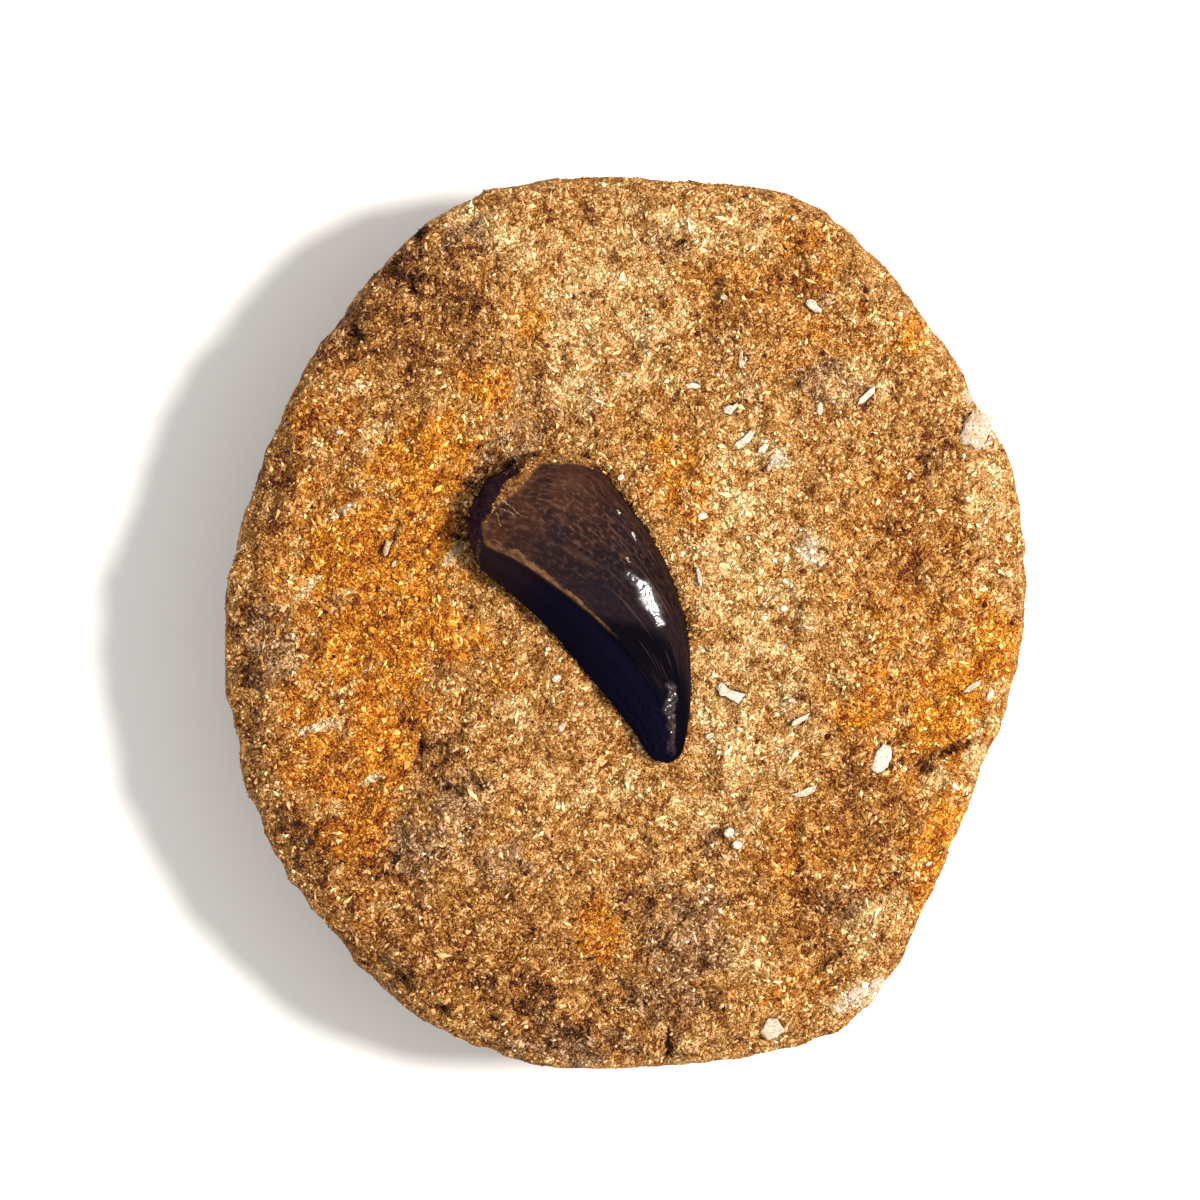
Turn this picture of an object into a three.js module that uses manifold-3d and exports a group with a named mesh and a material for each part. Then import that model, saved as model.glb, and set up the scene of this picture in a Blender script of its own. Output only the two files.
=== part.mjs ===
// A fossil mosasaur tooth lying on its side in a hand-sized slab of sandy phosphate rock,
// with chips and splinters of fossil bone in the rock's face.
//
// Frame: millimetres, +Z up. The slab lies flat, with the origin under the middle of its
// outline, on the surface that it rests on. The tooth's root end is towards -X +Y, and its tip
// towards +X -Y. The rock keeps a socket for the tooth and a pocket for each bone, so that
// every piece is a solid of its own that could be lifted out.

import * as THREE from "three";
import { ParametricGeometry } from "three/addons/geometries/ParametricGeometry.js";
import { mergeVertices } from "three/addons/utils/BufferGeometryUtils.js";
import Module from "manifold-3d";

const wasm = await Module();
wasm.setup();

const GAP = 0.35; // clearance between the rock and what lies in it

// ---------------------------------------------------------------- driving dimensions

// The slab's outline, anticlockwise: a rounded oval, flattened at the top and lower right.
const OUTLINE = [
  [47.1, 0], [47.6, 8.6], [46.4, 17], [38.8, 32.2], [27.2, 46.6], [18.7, 51.4], [9.3, 52.9],
  [-9.3, 53.1], [-19, 50.8], [-26.4, 45.6], [-37.7, 31.7], [-44.4, 16.2], [-47.5, 4.5],
  [-47.3, -6], [-45.6, -16.5], [-38.4, -32.1], [-26.5, -45.7], [-18.2, -49.8], [-9.3, -52.4],
  [9.2, -51.9], [18.4, -50.7], [27.1, -46.9], [33.1, -39.4], [37.3, -31.2], [40.1, -23.3],
  [45.5, -8.1],
];

const SLAB = {
  thickness: 27, // at the middle of the face
  fall: 1.4, // how much lower the face lies beside its rim
  rim: [5, 5], // the rounded upper edge's reach inwards and drop
  foot: [7, 6], // the rounded lower edge's reach inwards and height
  taper: 1.5, // how far the wall leans in on its way down
  columns: 72,
  faceRings: 10,
};

const TOOTH = {
  // The crown's two edges in plan, from the root end to the tip.
  outerEdge: [[-9.6, 19.9], [-4.4, 19.1], [0.3, 14.9], [4.4, 8], [7, 0], [7.8, -7], [7.2, -13],
    [6.4, -15.7], [5, -16.6]],
  innerEdge: [[-17.4, 6.5], [-14.3, 4], [-9.6, -0.2], [-5.6, -4.7], [-2.1, -9], [1, -13],
    [3, -15.9], [5, -16.6]],
  rise: 0.4, // crest over the rock, as a share of the width between the edges
  depth: 0.38, // how far it reaches into the rock, as a share of that width
  bluntness: 2.3, // exponent of the section's curve, where 2 is an ellipse
  tipLift: 0.8, // height of the tip over the rock's face
  footBow: 4.4, // how far the broken end bows out at the level of the rock
  rimBow: 2, // how far the crown's rim bows out, at its crest
  carinaHeight: 0.5,
  carinaTurn: [128, 72], // where the cutting ridge lies round the section, root and tip
  carinaDrift: 1.35, // over 1 makes most of its turn near the tip
  flankFlatness: 0.7, // of the flank below the cutting ridge, from 0, round, to 1, flat
  columns: 32,
  skinRings: 22,
};

// The moat that was cut in the rock round the tooth's broken end.
const MOAT = { middle: [-14.9, 14], size: [4.1, 8.3, 3.2], turn: -30 };

// Bone in the rock's face: [name, x, y, length, width, turn in degrees].
const CHIPS = [
  ["bone_chip_north", 22.3, 37.5, 2.3, 1.3, -35],
  ["bone_chip_bead", 14, 31.2, 2.6, 1.4, 85],
  ["bone_chip_block", 12.5, 25.3, 2.1, 1.3, 25],
  ["bone_chip_rim", 41.4, 22.8, 4.6, 3.6, 60],
  ["bone_chip_pearl", 30.2, -16.2, 3.1, 2.2, 68],
  ["bone_chip_foot", 17.3, -47.8, 3, 2.5, 20],
  ["bone_chip_west", -28.4, 8.6, 2.4, 1.2, 72],
];
const SPLINTERS = [
  ["bone_splinter_needle", 28.5, 27.2, 3.1, 0.8, 42],
  ["bone_splinter_curl", 7.6, 28.2, 2.6, 0.8, 5],
  ["bone_splinter_bar", 13.8, 21.7, 3.4, 1.1, 38],
  ["bone_splinter_knuckle", 12.3, -8.3, 3.2, 1.4, -22],
  ["bone_splinter_south", 20.6, -11.3, 2.8, 0.9, 28],
  ["bone_splinter_crescent", 21, -20, 3.2, 0.9, 14],
  ["bone_splinter_east", 41, -7.4, 2.8, 0.8, 30],
];
const BONE_SINK = 0.15; // depth of a bone's middle in the rock, as a share of its width

// ---------------------------------------------------------------- rock

// A smooth curve through points of the plan.
function planCurve(points, closed = false) {
  return new THREE.CatmullRomCurve3(
    points.map(([x, y]) => new THREE.Vector3(x, y, 0)), closed, "centripetal");
}

// Height of the rock's face: highest at its middle, with slow swells.
function faceHeight(x, y) {
  const fall = SLAB.fall * (Math.pow(x / 47, 2) + Math.pow(y / 53, 2));
  const swell = 0.45 * Math.sin(0.085 * x + 0.9) * Math.cos(0.07 * y - 0.4)
    + 0.3 * Math.sin(0.16 * x - 0.11 * y + 2.1);
  return SLAB.thickness - fall + swell;
}

// The slab's section, from the middle of the underside to the middle of the face. Each ring is
// its distance inside the outline, the share of the way out to there, its height, and how much
// of the face's relief it follows.
function slabRings() {
  const { thickness, rim: [rimReach, rimDrop], foot: [footReach, footHeight], taper } = SLAB;
  const wallTop = thickness - rimDrop;
  const rings = [];
  for (let i = 0; i < SLAB.faceRings; i += 1) {
    rings.push({ share: i / SLAB.faceRings, inside: rimReach, height: thickness, relief: 1 });
  }
  for (const turn of [0, 22, 45, 68, 90].map(THREE.MathUtils.degToRad)) {
    const drop = rimDrop * (1 - Math.cos(turn));
    const inside = rimReach * (1 - Math.sin(turn));
    rings.push({ share: 1, inside, height: thickness - drop, relief: Math.cos(turn) });
  }
  for (const share of [1 / 3, 2 / 3]) {
    const height = wallTop + (footHeight - wallTop) * share;
    rings.push({ share: 1, inside: taper * share, height, relief: 0 });
  }
  for (const turn of [0, 30, 60, 90].map(THREE.MathUtils.degToRad)) {
    const inside = taper + footReach * (1 - Math.cos(turn));
    rings.push({ share: 1, inside, height: footHeight * (1 - Math.sin(turn)), relief: 0 });
  }
  rings.push({ share: 0.5, inside: 0, height: 0, relief: 0 });
  rings.push({ share: 0, inside: 0, height: 0, relief: 0 });
  return rings.reverse();
}

function slabGeometry() {
  const edge = planCurve(OUTLINE, true).getSpacedPoints(SLAB.columns);
  const middle = new THREE.Box3().setFromPoints(edge).getCenter(new THREE.Vector3());
  const rings = slabRings();
  const surface = (u, v, target) => {
    const out = edge[Math.round(u * SLAB.columns) % SLAB.columns].clone().sub(middle);
    const ring = rings[Math.round(v * (rings.length - 1))];
    target.copy(out).setLength((out.length() - ring.inside) * ring.share);
    const relief = (faceHeight(target.x, target.y) - SLAB.thickness) * ring.relief;
    target.z = ring.height + relief;
  };
  return new ParametricGeometry(surface, SLAB.columns, rings.length - 1);
}

// ---------------------------------------------------------------- tooth

const FACE_AT_TOOTH = faceHeight(-2, 4);

// The tooth as rings from the middle of its broken end to its tip. Each is the way along the
// crown, and its size as a share of the section there.
function toothRings() {
  const rings = [0, 0.35, 0.7].map((size) => ({ along: 0, size }));
  for (let i = 0; i < TOOTH.skinRings; i += 1) {
    rings.push({ along: 1 - Math.pow(1 - i / TOOTH.skinRings, 1.4), size: 1 });
  }
  rings.push({ along: 1, size: 0 });
  return rings;
}

// A coordinate of a superellipse, from a cosine or a sine.
function blunt(value) {
  return Math.sign(value) * Math.pow(Math.abs(value), 2 / TOOTH.bluntness);
}

// A point of the tooth's section: x is -1 at the inner edge and 1 at the outer one, and y is -1
// at the bottom and 1 at the crest. Turns go round from the outer edge, past the crest.
function sectionPoint(turn, ridgeTurn) {
  const round = (angle) => new THREE.Vector2(blunt(Math.cos(angle)), blunt(Math.sin(angle)));
  const down = (turn - ridgeTurn) / (Math.PI - ridgeTurn);
  if (down <= 0 || down >= 1) return round(turn);
  const flat = round(ridgeTurn).lerp(new THREE.Vector2(-1, 0), down);
  return round(turn).lerp(flat, TOOTH.flankFlatness);
}

function toothGeometry() {
  const outerEdge = planCurve(TOOTH.outerEdge);
  const innerEdge = planCurve(TOOTH.innerEdge);
  const rootAcross = outerEdge.getPointAt(0).sub(innerEdge.getPointAt(0)).normalize();
  const rootBack = new THREE.Vector3(-rootAcross.y, rootAcross.x, 0);
  const rings = toothRings();
  const surface = (u, v, target) => {
    const { along, size } = rings[Math.round(v * (rings.length - 1))];
    const outer = outerEdge.getPointAt(along);
    const inner = innerEdge.getPointAt(along);
    const width = outer.distanceTo(inner);
    // Columns are counted from the cutting ridge, which crosses the crown on its way down.
    const column = Math.round(u * TOOTH.columns) % TOOTH.columns;
    const ridgeTurn = THREE.MathUtils.degToRad(
      THREE.MathUtils.lerp(...TOOTH.carinaTurn, Math.pow(along, TOOTH.carinaDrift)));
    const section = sectionPoint(ridgeTurn + 2 * Math.PI * column / TOOTH.columns, ridgeTurn);
    const across = section.x * size;
    const up = section.y * size;
    const ridge = column === 0 ? TOOTH.carinaHeight * Math.min(1, width / 6) * size : 0;
    const share = up > 0 ? TOOTH.rise : TOOTH.depth;
    const bow = TOOTH.footBow + (TOOTH.rimBow - TOOTH.footBow) * Math.max(0, up);
    const back = bow * (1 - across * across) * Math.pow(1 - along, 4);
    target.copy(inner).lerp(outer, (1 + across) / 2);
    target.z = FACE_AT_TOOTH + TOOTH.tipLift * along + share * width * up + ridge;
    target.addScaledVector(rootBack, back);
  };
  return new ParametricGeometry(surface, TOOTH.columns, rings.length - 1);
}

// ---------------------------------------------------------------- bone

// An uneven pebble that lies along X.
function chipGeometry(length, width) {
  const geometry = new THREE.IcosahedronGeometry(1, 1);
  const position = geometry.getAttribute("position");
  const point = new THREE.Vector3();
  for (let i = 0; i < position.count; i += 1) {
    point.fromBufferAttribute(position, i);
    point.multiplyScalar(1 + 0.13 * Math.sin(7 * point.x + 3 * point.y + 5 * point.z));
    position.setXYZ(i, point.x, point.y, point.z);
  }
  return geometry.scale(length / 2, width / 2, Math.max(0.8, 0.45 * width));
}

// A slightly bent stick that lies along X.
function splinterGeometry(length, width) {
  const straight = new THREE.CapsuleGeometry(width / 2, length - width, 2, 8, 2)
    .rotateZ(Math.PI / 2);
  const position = straight.getAttribute("position");
  for (let i = 0; i < position.count; i += 1) {
    const out = 2 * position.getX(i) / length;
    position.setY(i, position.getY(i) - 0.1 * length * out * out);
  }
  return straight;
}

// ---------------------------------------------------------------- solids and meshes

// A geometry with only its positions, its shared corners merged and its empty faces dropped.
function closed(geometry) {
  const bare = geometry.clone();
  bare.deleteAttribute("normal");
  bare.deleteAttribute("uv");
  const merged = mergeVertices(bare, 1e-3);
  const corners = merged.index.array;
  const kept = [];
  for (let i = 0; i < corners.length; i += 3) {
    const [a, b, c] = corners.subarray(i, i + 3);
    if (a !== b && b !== c && a !== c) kept.push(a, b, c);
  }
  merged.setIndex(kept);
  merged.computeVertexNormals();
  return merged;
}

// The room that a closed geometry needs: its own shape, larger by the gap all round.
function roomFor(geometry) {
  const room = geometry.clone();
  const position = room.getAttribute("position");
  const normal = room.getAttribute("normal");
  for (let i = 0; i < position.count; i += 1) {
    position.setXYZ(i, position.getX(i) + GAP * normal.getX(i),
      position.getY(i) + GAP * normal.getY(i), position.getZ(i) + GAP * normal.getZ(i));
  }
  return room;
}

function solidOf(geometry) {
  return new wasm.Manifold(new wasm.Mesh({
    numProp: 3,
    vertProperties: geometry.getAttribute("position").array,
    triVerts: new Uint32Array(geometry.index.array),
  }));
}

function geometryOf(solid) {
  const mesh = solid.getMesh();
  const geometry = new THREE.BufferGeometry();
  geometry.setAttribute("position", new THREE.BufferAttribute(mesh.vertProperties, 3));
  geometry.setIndex(new THREE.BufferAttribute(mesh.triVerts, 1));
  geometry.computeVertexNormals();
  return geometry;
}

function namedMesh(name, geometry, material) {
  const mesh = new THREE.Mesh(geometry, material);
  mesh.name = name;
  return mesh;
}

// ---------------------------------------------------------------- assembly

const ROCK = new THREE.MeshStandardMaterial({ color: 0xb8813f, roughness: 0.95, metalness: 0 });
const ENAMEL = new THREE.MeshStandardMaterial({ color: 0x35221c, roughness: 0.3, metalness: 0 });
const BONE = new THREE.MeshStandardMaterial({ color: 0xe6d8bb, roughness: 0.7, metalness: 0 });

const slab = new THREE.Mesh(closed(slabGeometry()), ROCK);

// Height of the slab's surface under a point of the plan.
function slabTop(x, y) {
  const above = new THREE.Vector3(x, y, 2 * SLAB.thickness);
  const ray = new THREE.Raycaster(above, new THREE.Vector3(0, 0, -1));
  return ray.intersectObject(slab)[0].point.z;
}

const part = new THREE.Group();

const tooth = closed(toothGeometry());
part.add(namedMesh("tooth", tooth, ENAMEL));

const moat = new THREE.SphereGeometry(1, 20, 12)
  .scale(...MOAT.size)
  .rotateZ(THREE.MathUtils.degToRad(MOAT.turn))
  .translate(...MOAT.middle, FACE_AT_TOOTH);
let rock = solidOf(slab.geometry)
  .subtract(solidOf(closed(moat)))
  .subtract(solidOf(roomFor(tooth)));

for (const [list, shape] of [[CHIPS, chipGeometry], [SPLINTERS, splinterGeometry]]) {
  for (const [name, x, y, length, width, turn] of list) {
    const bone = closed(shape(length, width))
      .rotateZ(THREE.MathUtils.degToRad(turn))
      .translate(x, y, slabTop(x, y) - BONE_SINK * width);
    rock = rock.subtract(solidOf(roomFor(bone)));
    part.add(namedMesh(name, bone, BONE));
  }
}

part.add(namedMesh("matrix", geometryOf(rock), ROCK));

export default part;
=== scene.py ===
"""A fossil mosasaur tooth lying on its side in a slab of sandy phosphate rock.

The rock is the CAD slab, remeshed finely and roughened, and covered with sand grains. The tooth
is lofted again from the CAD tooth's own edges, finely enough for its striations and its cutting
ridge. Each bone chip is cut to shape inside the CAD chip that it stands for. Lengths in this
script are in millimetres until mesh_object() writes them in metres. Only those of the camera and
the lamp are in metres from the start.
"""

import functools
import itertools
import math

import bpy
import numpy as np
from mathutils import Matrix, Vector
from mathutils.bvhtree import BVHTree


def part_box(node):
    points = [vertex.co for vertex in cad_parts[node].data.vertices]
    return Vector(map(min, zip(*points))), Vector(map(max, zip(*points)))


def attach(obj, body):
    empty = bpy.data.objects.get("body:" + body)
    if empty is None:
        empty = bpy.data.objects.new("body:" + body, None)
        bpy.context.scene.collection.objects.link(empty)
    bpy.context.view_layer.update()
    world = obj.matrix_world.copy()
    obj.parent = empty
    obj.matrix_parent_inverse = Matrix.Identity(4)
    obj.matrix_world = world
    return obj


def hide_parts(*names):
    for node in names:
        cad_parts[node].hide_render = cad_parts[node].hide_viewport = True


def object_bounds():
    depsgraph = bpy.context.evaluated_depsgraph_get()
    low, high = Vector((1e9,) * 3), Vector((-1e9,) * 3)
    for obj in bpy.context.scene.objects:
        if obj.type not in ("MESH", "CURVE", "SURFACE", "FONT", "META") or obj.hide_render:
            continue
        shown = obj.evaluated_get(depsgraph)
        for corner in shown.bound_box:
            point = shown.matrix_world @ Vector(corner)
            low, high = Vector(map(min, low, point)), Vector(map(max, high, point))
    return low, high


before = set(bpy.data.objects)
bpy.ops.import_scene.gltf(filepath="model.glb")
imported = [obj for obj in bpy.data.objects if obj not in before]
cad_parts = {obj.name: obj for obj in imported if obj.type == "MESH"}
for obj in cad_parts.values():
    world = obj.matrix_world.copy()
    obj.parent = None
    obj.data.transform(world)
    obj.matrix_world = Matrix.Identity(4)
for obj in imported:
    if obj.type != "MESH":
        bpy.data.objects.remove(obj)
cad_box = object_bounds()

MM = 0.001

# ---------------------------------------------------------------- sizes and places

VOXEL = 0.6  # size of the rock's faces
FOOT_FADE = 2.5  # height over which the rock's roughness fades out towards its flat underside
PIT_FADE = (18, 23)  # heights between which the dark of the pits fades in, up the walls
PATCH_FADE = (11, 19.5)  # the same for all patches of colour
BEDDING = 50  # turn of the rock's bedding in plan, in degrees
CONTACT_GAP = 0.1  # room left between the rock and what lies in it
SOCKET_REACH = 1.2  # how far from an inlaid piece the rock still counts as its socket's wall
SETTLE_REACH, SETTLE_SEARCH = 2.2, 3.5  # how far off it may settle, before and after roughening
INLAY_SEARCH, OVERHANG_REACH = 4, 2  # how far off a grain may touch it, and may lie under it
GRAIN_COUNT = 17000  # grains tried in each piece of loose sand
RIM_GRAIN_COUNT = 3000
GRAIN_FLOOR = 1.2  # lowest height of a grain

# The crown's two edges in plan, from the root end to the tip, just inside the CAD tooth's own.
OUTER_EDGE = [(-9.6, 19.9), (-4.2, 19.1), (-0.4, 14.8), (4, 8.2), (7, 0.2), (7.7, -7), (7.2, -13),
              (6.4, -15.7), (5, -16.6)]
INNER_EDGE = [(-17.4, 6.5), (-14.3, 4), (-9.6, -0.2), (-5.6, -4.7), (-2.1, -9), (1, -13),
              (3, -15.9), (5, -16.6)]
# The crown's section: its height above and below its middle in shares of its width, how
# square it is, where 2 is an ellipse, and how flat it is below the cutting ridge, up to 1.
TOOTH_RISE, TOOTH_DEPTH, TOOTH_BLUNTNESS, FLANK_FLATNESS = 0.4, 0.38, 2.3, 0.7
# The cutting ridge: its height, its turn round the section at the root and at the tip in
# degrees, and how late that turn comes, where 1 is evenly.
CARINA_HEIGHT, CARINA_TURN, CARINA_DRIFT = 0.5, (128, 72), 1.2
TIP_LIFT = 0.8  # how much higher the tip lies than the root
FOOT_BOW, RIM_BOW = 4.4, 2.0  # how far the broken end bows out, low down and at its top
CROWN_LENGTH = 40.0  # along the middle of the crown's skin
TOOTH_COLUMNS, SKIN_RINGS, END_RINGS = 200, 210, 30
EDGE_STEPS = 4000  # steps along each edge's curve
CHIPPED_RIM, CHIPPED_RIDGE = 0.7, 0.5  # how far from these the enamel is chipped
LINE_WANDER = 0.4  # how far the lines of sand and polish below may stray

# Cracks in the enamel with pale sand in them: start and end in plan, and half their width.
CRACKS = [(-15.0, 14.4, -13.8, 14.0, 0.13), (-13.8, 14.0, -12.9, 13.0, 0.09),
          (-13.9, 13.2, -13.0, 12.5, 0.1), (-12.9, 13.0, -11.5, 12.3, 0.07),
          (-15.2, 12.8, -14.8, 11.4, 0.1), (-14.8, 13.4, -13.9, 13.2, 0.07)]

# Painted glints: small white marks painted where the enamel would catch the light, in the same
# form.
PAINTED_GLINTS = [(-1.0, 13.3, -0.8, 12.9, 0.12), (0.8, 10.6, 1.1, 10.1, 0.14),
          (1.1, 10.1, 1.2, 9.8, 0.08), (0.1, 7.6, 0.3, 7.3, 0.07)]

# Sand that has stuck to the crown's outer corner: start, end, and reach round that line.
STUCK_SAND = [(-10.6, 19.3, -7.0, 19.6, 0.9), (-7.0, 19.6, -3.2, 18.7, 0.45)]

# Spots of the enamel that are worn to a polish, in the same form.
POLISHED = [(0.5, 5.7, 1.8, 4.6, 0.75), (2.1, 4.3, 3.4, 1.3, 1.2), (3.5, 1.4, 4.0, 0.0, 0.75),
            (5.3, -7.8, 5.2, -10.1, 0.85), (5.4, -11.0, 5.4, -15.0, 0.6)]

# Where it is polished the crown is worn flatter towards its outer edge: the middle of the spot
# that leans, and how steeply its height map leans each way.
LEAN_MIDDLE, LEAN = (2.9, 2.9), (4.2, 2.3)

# Patches of the rock's colour, by kind: middle, radii, turn in degrees, and strength. A few of
# them are painted light or shade, as marked. A pale patch is a crust where its strength is over
# 0.7.
PATCHES = {
    "orange": [
        (-25, 18, 7, 7, 0, 1), (-23, 12, 4, 7, 0, 0.9), (-33, 9, 7, 5, 40, 1),
        (-26, 3, 7, 6, 0, 0.7), (-30, -3, 7, 6, 0, 0.95), (-20, -1, 5, 3, -30, 0.6),
        (-15, -6, 3, 2, -45, 0.4), (-28, -12, 5, 9, 0, 0.95), (-37, -14, 4, 7, 0, 0.5),
        (-32, -23, 5, 6, 20, 0.85), (-37, 25, 4, 3, 0, 0.4), (-17, 28, 4, 3, 0, 0.45),
        (-11, 36, 2.5, 3, 0, 0.55), (22, 44, 6, 3, -35, 0.3), (34, 34, 3, 3, 0, 0.4),
        (6, 17, 4, 9, 25, 0.35), (17, 7, 3, 3, 0, 0.3), (39, -10, 5, 5, 20, 1),
        (44, -3, 3, 6, 0, 0.7), (28, -10, 4, 3, 0, 0.5), (37, -27, 3, 8, -25, 0.8),
        (20, -30, 5, 5, 0, 0.35), (-3, -36, 3, 4, 0, 0.6), (20, -43, 4, 3, 20, 0.3),
        (33, -5, 10, 26, 0, 0.25), (21, -28, 11, 9, 0, 0.25), (-17, -40, 11, 8, -20, 0.12),
        (-36, 8, 9, 32, 0, 0.25), (-31, -34, 6, 6, 0, 0.22), (20, 38, 14, 7, -30, 0.2),
        (-22, 36, 9, 7, 40, 0.1)],
    "pale": [
        (14, 1, 9, 26, 0, 0.5), (-3, 38, 10, 13, 0, 0.45), (-13.5, 44.5, 5.5, 2.4, -45, 0.69),
        (-8, 40, 3, 3, 0, 0.6), (-6.5, 33, 3, 7, 5, 0.69), (-5.5, 27, 3, 4, 0, 0.69),
        (4, 36, 4, 3, 0, 0.55), (7, 46, 5, 3.5, -15, 0.65), (14, 46.5, 4, 2.5, -20, 0.5),
        (28, 28.5, 4, 3.5, 0, 0.6), (28, 35.5, 5, 1.5, -20, 0.5), (14, 20, 6, 3, 0, 0.5),
        (22, 9, 3, 3, 0, 0.6), (16.5, 2, 4, 4, 0, 0.69), (18, -6, 4.5, 3, 0, 0.65),
        (14.5, -16, 6, 4, -10, 0.69), (8, -23, 4, 3, 0, 0.5), (10, 4, 3, 6, -15, 0.2),
        (-2, -20, 5, 3, 0, 0.5), (-9, -19, 5, 3, -30, 0.4), (-13, -11, 3.5, 2, -45, 0.55),
        # (42.5, -16) is a painted highlight along the lower right rim, which faces the lamp.
        (42.5, -16, 2.5, 6, -10, 0.69), (30, -35, 3, 5, -40, 0.6), (14, -40, 3, 3, 0, 0.5),
        (9, -49, 3, 2, 0, 0.6), (42.5, 14, 3, 9, 0, 0.5), (-40, -4, 1.6, 3, 0, 0.4),
        (-19, 48.5, 2, 1.5, 0, 0.6), (-20, 8.3, 3.4, 0.9, 45, 0.85), (-34, 13, 3.4, 0.7, 32, 0.85),
        (-30.5, 22, 1.6, 3, -20, 0.5), (-32, 27.6, 1.3, 1.1, 0, 0.65),
        (-36.8, 21.2, 1.4, 1.1, 0, 0.65), (-36.3, -12.4, 4.6, 0.9, 14, 0.85),
        (-29.8, -18.3, 2, 0.6, 20, 0.85), (-35, -22, 3.2, 1.6, 10, 0.5),
        (-28.5, -34, 1.6, 1.3, 0, 0.6), (-38, 4, 3, 0.8, 45, 0.8), (36.5, -18.5, 2.6, 1.6, 0, 0.6),
        (42, 22.5, 2.2, 2.6, 30, 1), (40.8, 26.8, 1.3, 1.5, 0, 0.9),
        (18.4, 19.4, 2.2, 1.9, 30, 0.9), (22, 8.6, 2.2, 2.6, 10, 0.9),
        (27.5, -44, 4.2, 2.4, 32, 1), (9.8, -13.5, 1.6, 1, 30, 0.8),
        (-21.5, -25, 2.4, 1.6, 30, 0.75), (-3, 41, 2.4, 1.6, 50, 0.75),
        (-3.5, 25.5, 2.6, 1.8, 20, 0.75)],
    "grey": [
        (-42, -3, 3.5, 5, 0, 1), (-20, -22, 4.5, 3.5, -20, 1), (-25, -27, 4, 4, 0, 0.8),
        (-14, -29, 5, 3.5, 0, 0.75), (7, -37, 5, 6, 0, 0.85), (4, -44, 6, 4, 0, 0.6),
        (-6, -50, 8, 3, 0, 0.8), (12, -26, 4, 3, 0, 0.5), (26, -34, 3, 4, 0, 0.6),
        (-9, 27, 4, 4, 0, 0.45), (-13.5, 21, 4.5, 2.5, 40, 0.8), (24, 28, 6, 3, 0, 0.9),
        (12, 31, 2.5, 4, 0, 0.5), (17, 20, 3, 2.5, 0, 0.4), (22, 8, 3, 2.5, 0, 0.45),
        (12, -8, 3, 3, 0, 0.2), (20, -10, 2.5, 3, 0, 0.4), (-18, 46, 4, 2.5, 0, 0.7),
        (-5, 38, 5, 3, 0, 0.35), (5, 46, 4, 3, 0, 0.5), (23, 38, 3, 2, 0, 0.4),
        (-33, 35, 3, 3, 0, 0.5), (35, 19, 3, 3, 0, 0.3)],
    "dark": [
        (-38, 2, 14, 44, 0, 0.22), (-10, -42, 26, 12, -8, 0.45), (-33, -28, 12, 15, 40, 0.4),
        (24, -30, 13, 11, 0, 0.35), (-20, 37, 4, 9, 15, 0.85), (-26, 42, 5, 5, 40, 1),
        (-33, 34, 4, 5, -40, 0.9), (-26, 33, 7, 6, 0, 0.6), (-37, 26, 4, 5, 0, 0.45),
        # (-42, 18), (-45, -2) and (-44, -14) are partly the rock's own dark and partly painted
        # shade on the left rim, which faces away from the lamp.
        (-42, 18, 3, 8, 0, 0.8), (-45, -2, 2, 8, 0, 0.8), (-44, -14, 2.5, 8, 10, 0.6),
        (-36, 8, 5, 8, 0, 0.25), (-28, 1, 2, 2, 0, 0.45), (-22, -16, 3.5, 3.5, 0, 1),
        (-25, -12, 2.5, 2.5, 0, 0.6), (-38, -27, 4, 7, 35, 0.9), (-30, -31, 5, 5, 0, 0.5),
        (-31, -37, 6, 4, -45, 0.6), (-24, -38, 7, 6, -30, 0.6), (-13, -44, 7, 4, -15, 1),
        (-8, -48, 5, 3, 0, 0.8), (6, -46, 4, 3, 0, 0.4), (1, -34, 3, 4, 0, 0.6),
        (8, -35, 3, 3, 0, 0.3), (-8, -35, 5, 3, 0, 0.35), (22, -33, 3.5, 4.5, 0, 0.8),
        (28, -22, 6, 7, 0, 0.6), (35, -15.5, 3, 3, 0, 0.2), (34, 9, 4.5, 7, 0, 0.5),
        (37, 22, 3.5, 4, 0, 0.5), (13, 37, 3.5, 4, 0, 0.6), (20, 42, 4, 4, 0, 0.5),
        # (-19.3, 11.5) and (-17, 17.8) are a painted shadow on the rock beside the tooth's broken
        # end.
        (27, 35, 4, 3, 0, 0.3), (-1, 50, 6, 2.5, 0, 0.25), (-19.3, 11.5, 1.4, 4, 10, 1),
        (-17, 17.8, 3, 1.2, 45, 1), (15, -32, 3, 6, 0, 0.3)],
}
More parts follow.
